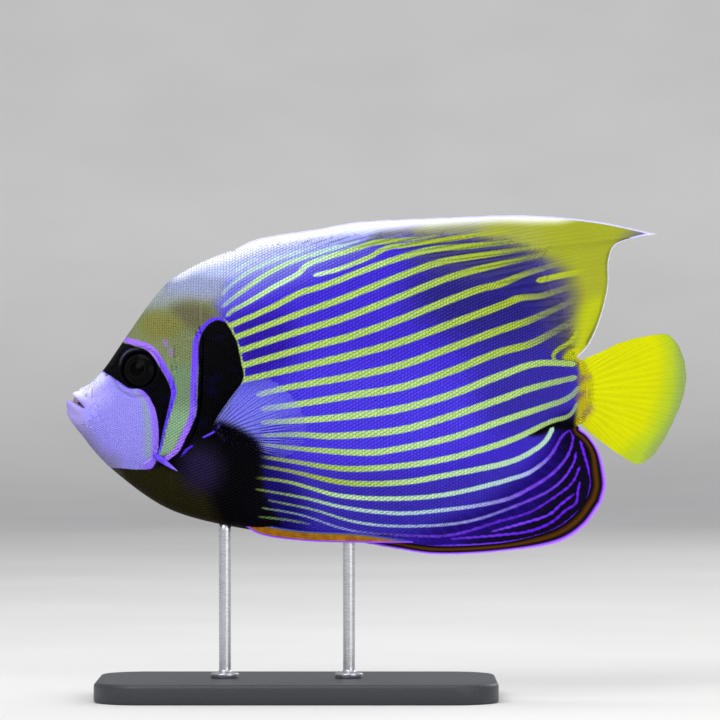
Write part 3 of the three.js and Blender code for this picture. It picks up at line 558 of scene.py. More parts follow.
EYE_BAND = [(-142, 170), (-132, 182), (-126.5, 177.5), (-123.5, 177), (-119.5, 175.5),
            (-114.5, 174), (-111, 170.5), (-107, 164), (-104.5, 160), (-103, 156.5), (-102, 153.5),
            (-102.5, 149), (-103.5, 144), (-105.5, 135), (-108, 125), (-109.8, 120.5), (-116, 128),
            (-121, 146), (-130, 152), (-143, 158)]
BLOTCH = [(-79.5, 189), (-75.5, 188), (-73.5, 185.5), (-71.5, 182), (-69.5, 178), (-68.5, 174),
          (-67, 166.5), (-66, 161.5), (-67, 157.5), (-71, 150), (-73, 143), (-75, 136), (-80, 134),
          (-86, 132), (-92, 134.5), (-90.5, 139), (-89.5, 144), (-89, 154), (-88.5, 164),
          (-88.5, 176.5), (-87.5, 180.5), (-86, 184), (-83.5, 187)]
FACE = [(-150, 166), (-141, 165.5), (-137, 163.5), (-133.5, 161.5), (-129.5, 159), (-126, 156.5),
        (-123.5, 155), (-118.5, 154.5), (-116, 153.5), (-113.5, 151), (-111.5, 147.5),
        (-110, 144), (-109, 139), (-108.5, 134), (-108.6, 126), (-109.6, 121.4),
        (-110.4, 117.4), (-112.5, 115), (-118.5, 114.5), (-133.5, 115), (-150, 112), (-166, 125),
        (-166, 160)]
VIOLET_TONES = [(0.0, srgb(92, 52, 255)), (0.5, srgb(128, 86, 255)), (1.0, srgb(190, 138, 255))]
VIOLET_LINES = [  # points, half widths and tones of the violet lines on the head
    ([(-127.5, 180.5), (-125, 179), (-119, 177.3), (-114, 175.5), (-111.5, 173.8), (-109.5, 171.5),
     (-107, 167.3), (-104.8, 163.5), (-102.8, 160), (-101.5, 156.5), (-100.8, 153.2), (-101.5, 149),
     (-103, 143.5), (-105.3, 135), (-107.5, 125), (-109.2, 120.5)], (1.2, 1.6, 1.4, 0.7, 0.5),
     (0.7, 0.75, 0.25, 0.1, 0.2)),
    ([(-75.6, 188.4), (-79, 189.6), (-82.6, 188.6), (-86.6, 185), (-88.5, 182), (-89.8, 179),
     (-90.1, 176.3), (-90.4, 169), (-90.8, 159), (-91, 149), (-91.3, 144), (-92.3, 139.5), (-94.5, 134.5),
     (-96.5, 130.5), (-99.3, 124.5), (-104.3, 120.3)], (0.5, 1.1, 1.5, 1.6, 1.5, 1.2),
     (0.0, 0.1, 0.3, 0.5, 0.7, 0.8)),
    ([(-97, 121.2), (-94.5, 124.4), (-91.5, 126.6)], (0.3, 0.6, 0.3), (0.0, 0.0, 0.0)),
    ([(-86.5, 130.6), (-81.5, 133), (-78, 136.6)], (0.3, 0.5, 0.4), (0.2, 0.2, 0.2)),
]
REACH = 6.0  # distances to markings are read no further than this
GLINT_HALF = 0.45  # half width of the painted highlight over the eye


def spread_along(share, values):
    """Value at a share of a line's length from a few values evenly along it."""
    return np.interp(share, np.linspace(0, 1, len(values)), values)


def stripe_field(place):
    """Signed distance to the nearest stripe's edge, its place on the ramp of tints, its strength."""
    edge = np.full(len(place), REACH)
    tint = np.zeros(len(place))
    strength = np.zeros(len(place))
    for points, widths, tints, strengths in STRIPES:
        line = curve(points, 2.5)
        length = np.linalg.norm(np.diff(line, axis=0), axis=1).sum()
        distance, share = nearest(place, line, REACH)
        front, middle, rear = widths
        width = np.interp(share, [0, 0.3, 0.75, 1], [front, middle, middle, rear])
        from_end = np.minimum(share, 1 - share) * length
        width = width * np.clip(from_end / STRIPE_TAPER, 0, 1) ** 0.5
        signed = np.where(distance < REACH, distance - width / 2, REACH)
        closer = signed < edge
        edge[closer] = signed[closer]
        tint[closer] = spread_along(share[closer], tints)
        front, middle, rear = strengths
        strength[closer] = np.interp(share[closer], [0, 0.22, 0.8, 1], [front, middle, middle, rear])
    return edge, tint, strength


def patched(place, colour, patches):
    """Colour at each place after soft patches have been laid over a plain ground, as they are seen."""
    colour = np.tile(np.array(colour, float), (len(place), 1))
    for patch, soft, outline in patches:
        depth = depth_in(place, curve(outline, 3, closed=True), soft + 1)
        colour = blend(colour, np.array(patch, float), (1 - smoothstep(depth, -soft, soft))[:, None])
    return linear(colour)


def violet_field(place):
    edge = np.full(len(place), REACH)
    tone = np.zeros(len(place))
    for points, halves, tones in VIOLET_LINES:
        distance, share = nearest(place, curve(points), REACH)
        signed = np.where(distance < REACH, distance - spread_along(share, halves), REACH)
        closer = signed < edge
        edge[closer] = signed[closer]
        tone[closer] = spread_along(share[closer], tones)
    return edge, tone


def markings(points, with_head=True, striped=True, ground=FLANK, patches=GROUND):
    """Everything that the paint needs at points, which it reads as they are seen from the side."""
    place = np.asarray(points)[:, [0, 2]]
    far = np.full(len(place), REACH)
    stripe, tint, strength = stripe_field(place)
    in_throat = depth_in(place, curve(THROAT, closed=True), THROAT_SOFT + 1)
    black = [depth_in(place, curve(outline, closed=True), REACH) for outline in (EYE_BAND, BLOTCH)]
    violet, violet_tone = violet_field(place)
    fields = {"ground": patched(place, ground, patches), "stripe": stripe if striped else far, "tint": tint,
              "strength": strength * smoothstep(in_throat, -2, THROAT_SOFT), "black": np.minimum(*black),
              "violet": violet, "violet_tone": violet_tone, "face": far}
    if with_head:
        fields["face"] = depth_in(place, curve(FACE, closed=True), REACH)
        fields["pale"] = patched(place, FACE_GROUND, FACE_PATCHES)
        # painted highlight along the orbit's rim
        distance, share = nearest(place, curve(ORBIT_GLINT), REACH)
        fields["glint"] = bump(distance, GLINT_HALF) * np.sin(np.pi * share)
    return fields


# Meshes

def new_piece(name, points, quads=None, triangles=None, flat=None):
    """A mesh from points in millimetres. flat marks the faces that aren't smooth."""
    parts = [np.asarray(f, np.int32) for f in (quads, triangles) if f is not None and len(f)]
    loops = np.concatenate([f.ravel() for f in parts])
    sizes = np.concatenate([np.full(len(f), f.shape[1]) for f in parts])
    mesh = bpy.data.meshes.new(name)
    mesh.vertices.add(len(points))
    mesh.vertices.foreach_set("co", (np.asarray(points) * MM).astype(np.float32).ravel())
    mesh.loops.add(len(loops))
    mesh.loops.foreach_set("vertex_index", loops)
    mesh.polygons.add(len(sizes))
    mesh.polygons.foreach_set("loop_start", np.append(0, np.cumsum(sizes)[:-1]).astype(np.int32))
    smooth = np.ones(len(sizes), bool) if flat is None else ~np.asarray(flat)
    mesh.polygons.foreach_set("use_smooth", smooth)
    mesh.update(calc_edges=True)
    mesh.validate()
    piece = bpy.data.objects.new(name, mesh)
    bpy.context.scene.collection.objects.link(piece)
    return piece


def paint(piece, fields):
    """Stores one value or colour at each point under its name."""
    for name, values in fields.items():
        values = np.asarray(values, np.float32)
        if values.ndim == 2:
            store = piece.data.attributes.new(name, "FLOAT_COLOR", "POINT")
            store.data.foreach_set("color", np.c_[values, np.ones(len(values))].astype(np.float32).ravel())
        else:
            store = piece.data.attributes.new(name, "FLOAT", "POINT")
            store.data.foreach_set("value", values)


def grid_quads(rows, columns, wrap=False):
    """Faces of a grid of points that is stored row by row."""
    i, j = np.meshgrid(np.arange(rows - 1), np.arange(columns if wrap else columns - 1), indexing="ij")
    right = (j + 1) % columns
    quads = np.stack([i * columns + j, i * columns + right, (i + 1) * columns + right,
                      (i + 1) * columns + j], -1)
    return quads.reshape(-1, 4)


def ring_faces(rows, columns):
    """Faces of rings of points, and of the fans to the two hubs that are stored after them."""
    ring = np.arange(columns)
    turned = (ring + 1) % columns
    last = (rows - 1) * columns
    hub = np.full(columns, rows * columns)
    fans = np.concatenate([np.stack([hub, turned, ring], -1),
                           np.stack([hub + 1, last + ring, last + turned], -1)])
    return grid_quads(rows, columns, wrap=True), fans


def rim_of(index):
    """The points round the border of a grid, in order."""
    return np.concatenate([index[:, 0], index[-1, 1:], index[-2::-1, -1], index[0, -2:0:-1]])


def on_side(flip, points, *sheets):
    """A shape of the right side, or its mirror image for the left."""
    return points * (1, flip, 1), *(sheet if flip > 0 else sheet[:, ::-1] for sheet in sheets)


def finish_piece(piece, material, replaced=()):
    piece.data.materials.append(material)
    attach(piece, "root")
    if replaced:
        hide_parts(*replaced)
    return piece


# Materials

NAMED_SOCKETS = {"specular": "Specular IOR Level", "coat": "Coat Weight",
                 "coat_roughness": "Coat Roughness"}


class Shader:
    """A node material with a Principled shader, and short ways to add nodes to it."""

    def __init__(self, name, **settings):
        self.material = bpy.data.materials.new(name)
        self.material.use_nodes = True
        self.nodes = self.material.node_tree.nodes
        self.links = self.material.node_tree.links
        self.principled = self.nodes["Principled BSDF"]
        for key, value in settings.items():
            socket = NAMED_SOCKETS.get(key, key.capitalize())
            self.principled.inputs[socket].default_value = value

    def attribute(self, name, colour=False):
        node = self.nodes.new("ShaderNodeAttribute")
        node.attribute_name = name
        return node.outputs["Color" if colour else "Fac"]

    def noise(self, scale, detail=3.0, roughness=0.55, stretch=(1, 1, 1)):
        place = self.nodes.new("ShaderNodeTexCoord")
        mapping = self.nodes.new("ShaderNodeMapping")
        mapping.inputs["Scale"].default_value = stretch
        node = self.nodes.new("ShaderNodeTexNoise")
        node.inputs["Scale"].default_value = scale
        node.inputs["Detail"].default_value = detail
        node.inputs["Roughness"].default_value = roughness
        self.links.new(place.outputs["Object"], mapping.inputs["Vector"])
        self.links.new(mapping.outputs["Vector"], node.inputs["Vector"])
        return node.outputs["Fac"]

    def maths(self, operation, a, b):
        node = self.nodes.new("ShaderNodeMath")
        node.operation = operation
        for socket, value in zip(node.inputs, (a, b)):
            self.put(socket, value)
        return node.outputs["Value"]

    def spread(self, value, low, high, to_low=0.0, to_high=1.0, smooth=True):
        node = self.nodes.new("ShaderNodeMapRange")
        node.interpolation_type = "SMOOTHSTEP" if smooth else "LINEAR"
        self.put(node.inputs["Value"], value)
        ends = {"From Min": low, "From Max": high, "To Min": to_low, "To Max": to_high}
        for name, number in ends.items():
            node.inputs[name].default_value = number
        return node.outputs["Result"]

    def mix(self, share, a, b, how="MIX"):
        node = self.nodes.new("ShaderNodeMix")
        node.data_type = "RGBA"
        node.blend_type = how
        self.put(node.inputs[0], share)
        self.put(node.inputs[6], a)
        self.put(node.inputs[7], b)
        return node.outputs[2]

    def ramp(self, value, stops):
        node = self.nodes.new("ShaderNodeValToRGB")
        ramp = node.color_ramp
        while len(ramp.elements) < len(stops):
            ramp.elements.new(0.5)
        for element, (place, colour) in zip(ramp.elements, stops):
            element.position = place
            element.color = (*colour, 1)
        self.put(node.inputs["Fac"], value)
        return node.outputs["Color"]

    def clouded(self, noise, dark, pale, low=0.3, high=0.7):
        """Two colours in patches that a noise gives."""
        return self.mix(self.spread(noise, low, high), dark, pale)

    def shade_of(self, value):
        """A grey from a value."""
        node = self.nodes.new("ShaderNodeCombineColor")
        for socket in node.inputs:
            self.links.new(value, socket)
        return node.outputs["Color"]

    def feed(self, socket, output):
        self.links.new(output, self.principled.inputs[socket])

    def put(self, socket, value):
        if isinstance(value, bpy.types.NodeSocket):
            self.links.new(value, socket)
        elif isinstance(value, np.ndarray):
            socket.default_value = (*value, 1)
        else:
            socket.default_value = value

    def bump(self, height, strength, distance):
        node = self.nodes.new("ShaderNodeBump")
        node.inputs["Strength"].default_value = strength
        node.inputs["Distance"].default_value = distance * MM
        self.links.new(height, node.inputs["Height"])
        self.feed("Normal", node.outputs["Normal"])


BLACK_MARK = srgb(1, 1, 3)
NAVY_MARK = srgb(6, 3, 44)
# Colours in the head's hollows: painted shade in the orbit, nostrils and gill slit, and the mouth's mauve
# inside, partly painted shade
HOLLOW_SHADE = srgb(20, 12, 20)
MOUTH_MARK = srgb(112, 84, 104)
# colour of the painted highlight on the orbit's rim
GLINT_MARK = srgb(70, 72, 90)
# Half of the soft step at the edge of a marking, and how far the edge strays from its line
EDGE_SOFT, STRIPE_SOFT, VIOLET_SOFT = 0.25, 0.4, 0.35
EDGE_WAVER = 0.12
SCALE_CONTRAST = 0.045  # how much the tone changes brightness: each scale's random tone with its painted shade from root to free edge, and on fin sheets lighter rays than membrane


def marked_material(name, bands=None, roughness=0.5):
    """Paint of skin, scales and opaque fins. bands are how far the colours along a fin's edge reach
    inward, and their stops."""
    shader = Shader(name, roughness=roughness, specular=0.04)
    waver = shader.spread(shader.noise(420, 2.0), 0.25, 0.75, -EDGE_WAVER, EDGE_WAVER, smooth=False)

    def cover(under, field, colour, soft=EDGE_SOFT, strength=None):
        value = shader.maths("ADD", shader.attribute(field), waver)
        share = shader.spread(value, -soft, soft, 1, 0)
        if strength is not None:
            share = shader.maths("MULTIPLY", share, strength)
        return shader.mix(share, under, colour)

    colour = shader.attribute("ground", colour=True)
    stripes = shader.ramp(shader.attribute("tint"), TINT_STOPS)
    colour = cover(colour, "stripe", stripes, STRIPE_SOFT, shader.attribute("strength"))
    mottled = shader.clouded(shader.noise(90, 4.0), BLACK_MARK, NAVY_MARK, 0.52, 0.78)
    colour = cover(colour, "black", mottled, STRIPE_SOFT)
    # painted highlight along the orbit's rim
    colour = shader.mix(shader.attribute("glint"), colour, GLINT_MARK)
    colour = cover(colour, "face", shader.attribute("pale", colour=True))
    violet = shader.ramp(shader.attribute("violet_tone"), VIOLET_TONES)
    colour = cover(colour, "violet", violet, VIOLET_SOFT)
    if bands is not None:
        reach, stops = bands
        edge = shader.attribute("edge")
        share = shader.spread(edge, reach - EDGE_SOFT, reach + EDGE_SOFT, 1, 0)
        inward = shader.spread(edge, 0, reach, smooth=False)
        band = shader.ramp(inward, [(place / reach, shade) for place, shade in stops])
        colour = shader.mix(share, colour, band)
    tone = shader.maths("MULTIPLY", shader.attribute("tone"), SCALE_CONTRAST)
    cloud = shader.spread(shader.noise(55, 4.0), 0.25, 0.75, 0.95, 1.05, smooth=False)
    fleck = shader.spread(shader.noise(700, 3.0), 0.2, 0.8, -0.03, 0.03, smooth=False)
    gain = shader.maths("ADD", shader.maths("ADD", tone, cloud), fleck)
    colour = shader.mix(1.0, colour, shader.shade_of(gain), "MULTIPLY")
    # painted shade in the hollows; inside the mouth, on the face, the mouth's mauve, partly painted shade
    on_face = shader.spread(shader.attribute("face"), -EDGE_SOFT, EDGE_SOFT, 1, 0)
    inside = shader.mix(on_face, HOLLOW_SHADE, MOUTH_MARK)
    shader.feed("Base Color", shader.mix(shader.attribute("hollow_shade"), colour, inside))
    shader.bump(shader.maths("ADD", shader.noise(1500, 2.0), shader.noise(400, 2.0)), 0.15, 0.08)
    return shader.material


def clear_fin_material():
    shader = Shader("clear_fin", roughness=0.5, specular=0.05)
    ray = shader.attribute("crest")
    colour = shader.mix(ray, srgb(104, 104, 236), srgb(160, 164, 250))
    shader.feed("Base Color", shader.mix(shader.attribute("streak"), colour, srgb(6, 4, 24)))
    solidness = shader.spread(ray, 0, 1, 0.3, 0.55, smooth=False)
    solidness = shader.maths("MULTIPLY", solidness, shader.attribute("cover"))
    shader.feed("Alpha", shader.maths("MAXIMUM", solidness, shader.attribute("flesh")))
    shader.bump(shader.noise(900, 2.0), 0.1, 0.1)
    return shader.material


def pelvic_material():
    shader = Shader("pelvic_fin", roughness=0.5, specular=0.12)
    colour = shader.clouded(shader.noise(160, 3.0), srgb(138, 84, 6), srgb(176, 118, 10))
    for field, low, high, at_low, at_high, over in (
            ("crest", 0.3, 1, 0, 0.3, srgb(104, 60, 4)),
            ("upper", 0.9, 1.8, 1, 0, srgb(96, 104, 90)),
            ("upper", 0.4, 0.9, 1, 0, srgb(58, 50, 190)),
            ("edge", 0.5, 1.0, 1, 0, srgb(150, 72, 250))):
        share = shader.spread(shader.attribute(field), low, high, at_low, at_high)
        colour = shader.mix(share, colour, over)
    shader.feed("Base Color", colour)
    shader.bump(shader.noise(900, 2.0), 0.3, 0.1)
    return shader.material


def spine_material():
    shader = Shader("cheek_spine", roughness=0.45, specular=0.15)
    colour = shader.ramp(shader.attribute("share"), [
        (0.0, srgb(78, 46, 214)), (0.55, srgb(112, 72, 246)), (1.0, srgb(150, 120, 255))])
    flecks = shader.spread(shader.noise(500, 3.0), 0.35, 0.7, 0, 0.4)
    shader.feed("Base Color", shader.mix(flecks, colour, srgb(70, 40, 180)))
    shader.bump(shader.noise(1200, 2.0, stretch=(0.2, 1, 1)), 0.25, 0.1)
    return shader.material


def eye_material():
    """Black iris with faint rings round a black pupil, by the share of the way out to the rim."""
    shader = Shader("eye_ball", roughness=0.22, specular=0.03)
    out = shader.attribute("out")
    iris = shader.clouded(shader.noise(700, 3.0), srgb(1, 1, 3), srgb(9, 7, 7))
    rings = shader.ramp(out, [
        (0.0, srgb(0, 0, 1)), (0.46, srgb(0, 0, 1)), (0.49, srgb(34, 27, 19)), (0.53, srgb(8, 6, 6)),
        (0.84, srgb(3, 3, 5)), (0.92, srgb(16, 16, 24)), (1.0, srgb(1, 1, 2))])
    colour = shader.mix(shader.spread(out, 0.44, 0.47), srgb(1, 1, 2), shader.mix(0.5, rings, iris))
    shader.feed("Base Color", colour)
    shader.bump(shader.noise(600, 2.0), 0.1, 0.1)
    return shader.material


def teeth_material():
    shader = Shader("teeth", roughness=0.5, specular=0.15)
    colour = shader.clouded(shader.noise(900, 2.0), srgb(150, 118, 128), srgb(186, 160, 166))
    shader.feed("Base Color", colour)
    return shader.material


def base_material():
    shader = Shader("stand_paint", roughness=0.5, specular=0.4, coat=0.15, coat_roughness=0.4)
    shader.feed("Base Color", shader.clouded(shader.noise(1400, 3.0), srgb(40, 42, 46), srgb(54, 56, 61)))
    shader.bump(shader.noise(1800, 3.0), 0.35, 0.12)
    return shader.material


def rod_material():
    shader = Shader("rod_steel", metallic=1.0)
    brushed = shader.noise(260, 4.0, stretch=(1, 1, 26))
    shader.feed("Base Color", shader.clouded(brushed, srgb(176, 179, 184), srgb(214, 216, 220)))
    shader.feed("Roughness", shader.spread(brushed, 0.2, 0.8, 0.22, 0.42))
    return shader.material


def paper_material():
    shader = Shader("studio_paper", roughness=0.8, specular=0.2)
    colour = shader.clouded(shader.noise(3, 2.0), srgb(214, 213, 211), srgb(220, 219, 217))
    shader.feed("Base Color", colour)
    shader.feed("Emission Color", colour)
    shader.feed("Emission Strength", shader.attribute("glow"))
    return shader.material


# Skin

SKIN_STEP = 0.45  # between rings on the head
TRUNK_STEP = 1.0
SKIN_SIDE = 250  # points round each side
SNOUT = {"first_turn": 0.04, "length": 13, "tip": 0.02}  # rings over the round snout, and its last point
HEAD_OVERLAP = 4  # the close rings go on this far behind the head


def skin_stations():
    turn = np.linspace(SNOUT["first_turn"], np.pi / 2, int(SNOUT["length"] / SKIN_STEP))
    nose = NOSE_X + NOSE_ROUND * (1 - np.cos(turn))
    head = np.arange(nose[-1] + SKIN_STEP, HEAD_END_X + HEAD_OVERLAP, SKIN_STEP)
    trunk = np.linspace(head[-1] + TRUNK_STEP, SKIN_END_X, int((SKIN_END_X - head[-1]) / TRUNK_STEP))
    return np.concatenate([nose, head, trunk])


def make_skin(material):
    x = skin_stations()
    right = section_angles(x, np.linspace(0, 1, SKIN_SIDE + 1))
    right[:, 0], right[:, -1] = -np.pi / 2, np.pi / 2
    angles = np.concatenate([right, np.pi - right[:, -2:0:-1]], axis=1)
    stations = np.repeat(x[:, None], angles.shape[1], axis=1)
    rings = skin(stations, angles)
    rings[:, [0, SKIN_SIDE], 1] = 0
    hubs = np.array([rings[0].mean(0), rings[-1].mean(0)])
    hubs[0, 0] -= SNOUT["tip"]
    points = np.vstack([rings.reshape(-1, 3), hubs])
    piece = new_piece("skin", points, *ring_faces(*stations.shape))
    # painted shade of the head's hollows, read on the smooth flesh
    smooth = flesh(stations, angles)
    _, hollow_shade = relief(smooth[..., 0], smooth[..., 2])
    paint(piece, {**markings(points), "hollow_shade": np.append(hollow_shade, (0, 0))})
    return finish_piece(piece, material, [
        "head", "torso", "tail_stalk", "upper_lip", "lower_jaw", "gill_cover_right", "gill_cover_left"])


# Scales: thin closed plates, each with its root in the skin and its rear edge free

SCALE = {"sink": 0.025, "lift": 0.038, "overlap": 1.7, "wide": 1.14, "camber": 0.008, "thick": 0.09,
         "round_edge": 0.3, "narrow_root": 0.78}
SCALE_VARIES = {"length": (0.94, 1.06), "width": (0.95, 1.05), "lift": (0.75, 1.25), "tone": (-0.5, 0.5)}
SCALE_SHADE = (-0.35, 0.25)  # painted shade along a scale: tone at its root, under the scale in front, and at its free edge
FULL_SCALE = 2.0  # scales smaller than this stand up less
PATCH = 0.003  # width of each scale's place on its map
MAP_MARGIN = 0.02  # of a map, free round the scales of each side
SCALE_ROWS = 3  # points from a scale's root to its free edge
ROW_STEP = 0.82  # distance between rows of scales, as a share of their size


def plate_template(across, rows):
    """Places on one plate, from root to free edge, its top faces and the fan under it."""
    u, v = np.meshgrid(np.linspace(-1, 1, across), np.linspace(0, 1, rows), indexing="ij")
    index = np.arange(across * rows).reshape(across, rows)
    top = np.stack([index[:-1, :-1], index[1:, :-1], index[1:, 1:], index[:-1, 1:]], -1).reshape(-1, 4)
    rim = rim_of(index)
    under = np.stack([np.roll(rim, -1), rim, np.full(len(rim), across * rows)], -1)
    return u.ravel(), v.ravel(), top, under


def make_coat(name, material, roots, rearward, normal, size, unwrap, across, rng, fields_at):
    """One joined mesh of plates, with each plate a small patch at its root's place on the map."""
    u, v, top, under = plate_template(across, SCALE_ROWS)
    count, per_plate = len(roots), len(u) + 1
    sideways = np.cross(normal, rearward)
    length = (size * SCALE["overlap"] * rng.uniform(*SCALE_VARIES["length"], count))[:, None]
    width = (size * SCALE["wide"] * rng.uniform(*SCALE_VARIES["width"], count))[:, None]
    share_of_full = np.minimum(size / FULL_SCALE, 1)[:, None]
    lift = SCALE["lift"] * share_of_full * rng.uniform(*SCALE_VARIES["lift"], count)[:, None]
    sink = SCALE["sink"] * share_of_full
    forward = length * (v * (1 - SCALE["round_edge"] * u**2) - 0.5)
    taper_in = blend(SCALE["narrow_root"], 1, np.sin(np.pi * np.minimum(v, 0.75)))
    aside = width * u / 2 * taper_in
    height = blend(-sink, lift, v**0.8) - SCALE["camber"] * size[:, None] * u**2
    middle_below = blend(-sink, lift, 0.5) - SCALE["thick"]
    none = np.zeros((count, 1))
    forward, aside, height = np.c_[forward, none], np.c_[aside, none], np.c_[height, middle_below]
    points = (roots[:, None] + forward[..., None] * rearward[:, None]
              + aside[..., None] * sideways[:, None] + height[..., None] * normal[:, None]).reshape(-1, 3)
    start = (np.arange(count) * per_plate)[:, None, None]
    quads = (top + start).reshape(-1, 4)
    triangles = (under + start).reshape(-1, 3)
    flat = np.r_[np.zeros(len(quads), bool), np.ones(len(triangles), bool)]
    piece = new_piece(name, points, quads, triangles, flat)
    patch = np.stack([np.r_[u / 2, 0], np.r_[v - 0.5, 0]], -1) * PATCH
    uv = (unwrap[:, None] + patch[None]).reshape(-1, 2)
    corner = np.zeros(len(piece.data.loops), np.int32)
    piece.data.loops.foreach_get("vertex_index", corner)
    layer = piece.data.uv_layers.new(name="OFBake")
    layer.data.foreach_set("uv", uv[corner].astype(np.float32).ravel())
    tone = np.repeat(rng.uniform(*SCALE_VARIES["tone"], count), per_plate)
    shade = np.tile(np.r_[blend(*SCALE_SHADE, v), 0], count)
    paint(piece, {**fields_at(points), "tone": tone + shade})
    return finish_piece(piece, material)


scale_size = smooth_line([(-156, 0.9), (-135, 1.05), (-112, 1.3), (-92, 1.55), (-70, 1.8),
                          (40, 1.8), (80, 1.5), (108, 1.1)])
SCALE_MARGIN = 0.3  # length round the body that stays free at the back's and the belly's edge


def scale_places(from_x, to_x):
    """Where scales sit on one side: x, angle, size and place on the unwrapped skin."""
    found = []
    x, odd = from_x, False
    while x < to_x:
        size = float(scale_size(x)) * QUICK_FACTOR
        angles, reach = side_reach(np.array([x]))
        reach = reach[0]
        middle = np.interp(0, angles, reach)
        low, high = SCALE_MARGIN - middle, reach[-1] - middle - SCALE_MARGIN
        rows = np.arange(int(np.ceil(low / size)), int((reach[-1] - middle) / size) + 1)
        rows = (rows + (0.5 if odd else 0)) * size
        rows = rows[(rows > low) & (rows < high)] + middle
        found.append(np.stack([np.full(len(rows), x), np.interp(rows, reach, angles),
                               np.full(len(rows), size), rows / reach[-1]], -1))
        x += size * ROW_STEP
        odd = not odd
    return np.vstack(found)


BARE_SNOUT = {"x": -152, "z": 145, "reach": 11.5, "ragged": 3.5}
BARE_LIPS = (-5.6, 4.6)  # how far the bare lips reach below and above the line of the mouth
BARE_ORBIT = 0.9  # beyond the orbit's own radius
BARE_NOSTRIL = 1.9
SCALE_SHIFT = 0.06  # how far a scale sits off its row, as a share of its size
COAT_BANDS = [  # name, from x, to x and points across a scale
    ("head", -151, -92, 4), ("front", -92, -30, 5), ("middle", -30, 30, 5), ("rear", 30, 104, 5)]
SEAT_STEPS = (0.7, 0.012)  # lengths along and round the body over which a scale's seat is read


def bare(x, z, rng):
    """Places with no scales: lips, mouth, eyes and nostrils."""
    above, share = mouth_place(x, z)
    low, high = BARE_LIPS
    found = (share > -0.3) & (above > low) & (above < high)
    from_lips = np.hypot(x - BARE_SNOUT["x"], z - BARE_SNOUT["z"])
    found |= from_lips < BARE_SNOUT["reach"] + BARE_SNOUT["ragged"] * rng.uniform(-1, 1, len(x))
    found |= np.hypot(x - EYE_X, z - EYE_Z) < ORBIT_RADIUS + BARE_ORBIT
    for nostril_x, nostril_z in NOSTRILS:
        found |= np.hypot(x - nostril_x, z - nostril_z) < BARE_NOSTRIL
    return found


def make_body_scales(material):
    """One layout from snout to tail on each side, cut into pieces."""
    rng = np.random.default_rng(SEED)
    for side, sign in SIDES:
        places = scale_places(COAT_BANDS[0][1], COAT_BANDS[-1][2])
        places[:, 0] += rng.uniform(-SCALE_SHIFT, SCALE_SHIFT, len(places)) * places[:, 2]
        seen = flesh(places[:, 0], places[:, 1])
        places = places[~bare(seen[:, 0], seen[:, 2], rng)]
        flip = np.array([1, sign, 1])
        for band, from_x, to_x, across in COAT_BANDS:
            x, angle, size, share = places[(places[:, 0] >= from_x) & (places[:, 0] < to_x)].T
            normal, rearward = outward(skin, x, angle, *SEAT_STEPS)
            unwrap = np.stack([(x - NOSE_X) / (SKIN_END_X - NOSE_X), 0.5 + sign * share / 2.02], -1)
            make_coat(f"scales_{band}_{side}", material, skin(x, angle) * flip, rearward * flip,
                      normal * flip, size, unwrap, across, rng, markings)


# Fins

def ridge(phase, share):
    """How far a place is up a ray, which parts in two and again towards its tip. phase is 0 on the ray."""
    single = (0.5 + 0.5 * np.cos(2 * np.pi * phase)) ** 1.6
    double = (0.5 - 0.5 * np.cos(4 * np.pi * phase)) ** 1.4
    fourfold = 0.5 - 0.5 * np.cos(8 * np.pi * phase)
    once = blend(single, double, smoothstep(share, 0.3, 0.6) * 0.8)
    return blend(once, fourfold, smoothstep(share, 0.62, 0.9) * 0.7)


def thinning(root_and_tip, t):
    """Half thickness of a fin along its rays."""
    return blend(*root_and_tip, np.minimum(t * 1.15, 1))


def edge_ray(base, leading, trailing, corner, spread):
    base, leading, trailing = (curve(points, 0.5) for points in (base, leading, trailing))

    def ray(place):
        tip = np.where((place <= corner)[:, None],
                       along(leading, (np.minimum(place, corner) / corner) ** spread),
                       along(trailing, np.clip((place - corner) / (1 - corner), 0, 1)))
        return flat_point(along(base, place)), flat_point(tip)

    ray.edge = np.vstack([leading, trailing])
    return ray


def flat_point(xz):
    return np.stack([xz[:, 0], np.zeros(len(xz)), xz[:, 1]], -1)


def spiny_notches(place):
    """Depths of even notches between the rays and of torn ones behind the spines' tips."""
    return 0.1 + 0 * place, 1.0 * smoothstep(place, 0.08, 0.13) * (1 - smoothstep(place, 0.28, 0.36))


def soft_notches(place):
    return 0.2, 0 * place


def deep_notches(place):
    return 0.9, 0 * place


RAYS_RISE = (0.03, 0.35)  # shares of a fin's height over which its rays come out of the skin


def fin_grid(ray, rays, crest, valley, notches, per_ray, rows, bend=0.0, facing=(0, 1, 0)):
    """Middle surface, half thickness and crest share of a fin, column by column along its rays."""
    columns = (rays - 1) * per_ray + 1
    place = np.linspace(0, 1, columns)
    phase = (np.arange(columns) % per_ray) / per_ray
    root, tip = ray(place)
    length = np.linalg.norm(tip - root, axis=1)
    between = 1 - (0.5 + 0.5 * np.cos(2 * np.pi * phase)) ** 1.4
    behind_tip = smoothstep(phase, 0, 0.15) * (1 - phase)
    even, torn = notches(place)
    short = (even * between + torn * behind_tip) / length
    t = np.linspace(0, 1, rows)[None] * (1 - short[:, None])
    up = ridge(phase[:, None], t)
    half = blend(thinning(valley, t), thinning(crest, t), blend(1, up, smoothstep(t, *RAYS_RISE)))
    middle = root[:, None] + (tip - root)[:, None] * t[..., None]
    facing = np.broadcast_to(np.asarray(facing, float), middle.shape)
    middle = middle + facing * (bend * np.sin(np.pi * t))[..., None]
    return {"middle": middle, "half": half, "facing": facing, "crest": up, "t": t, "place": place}


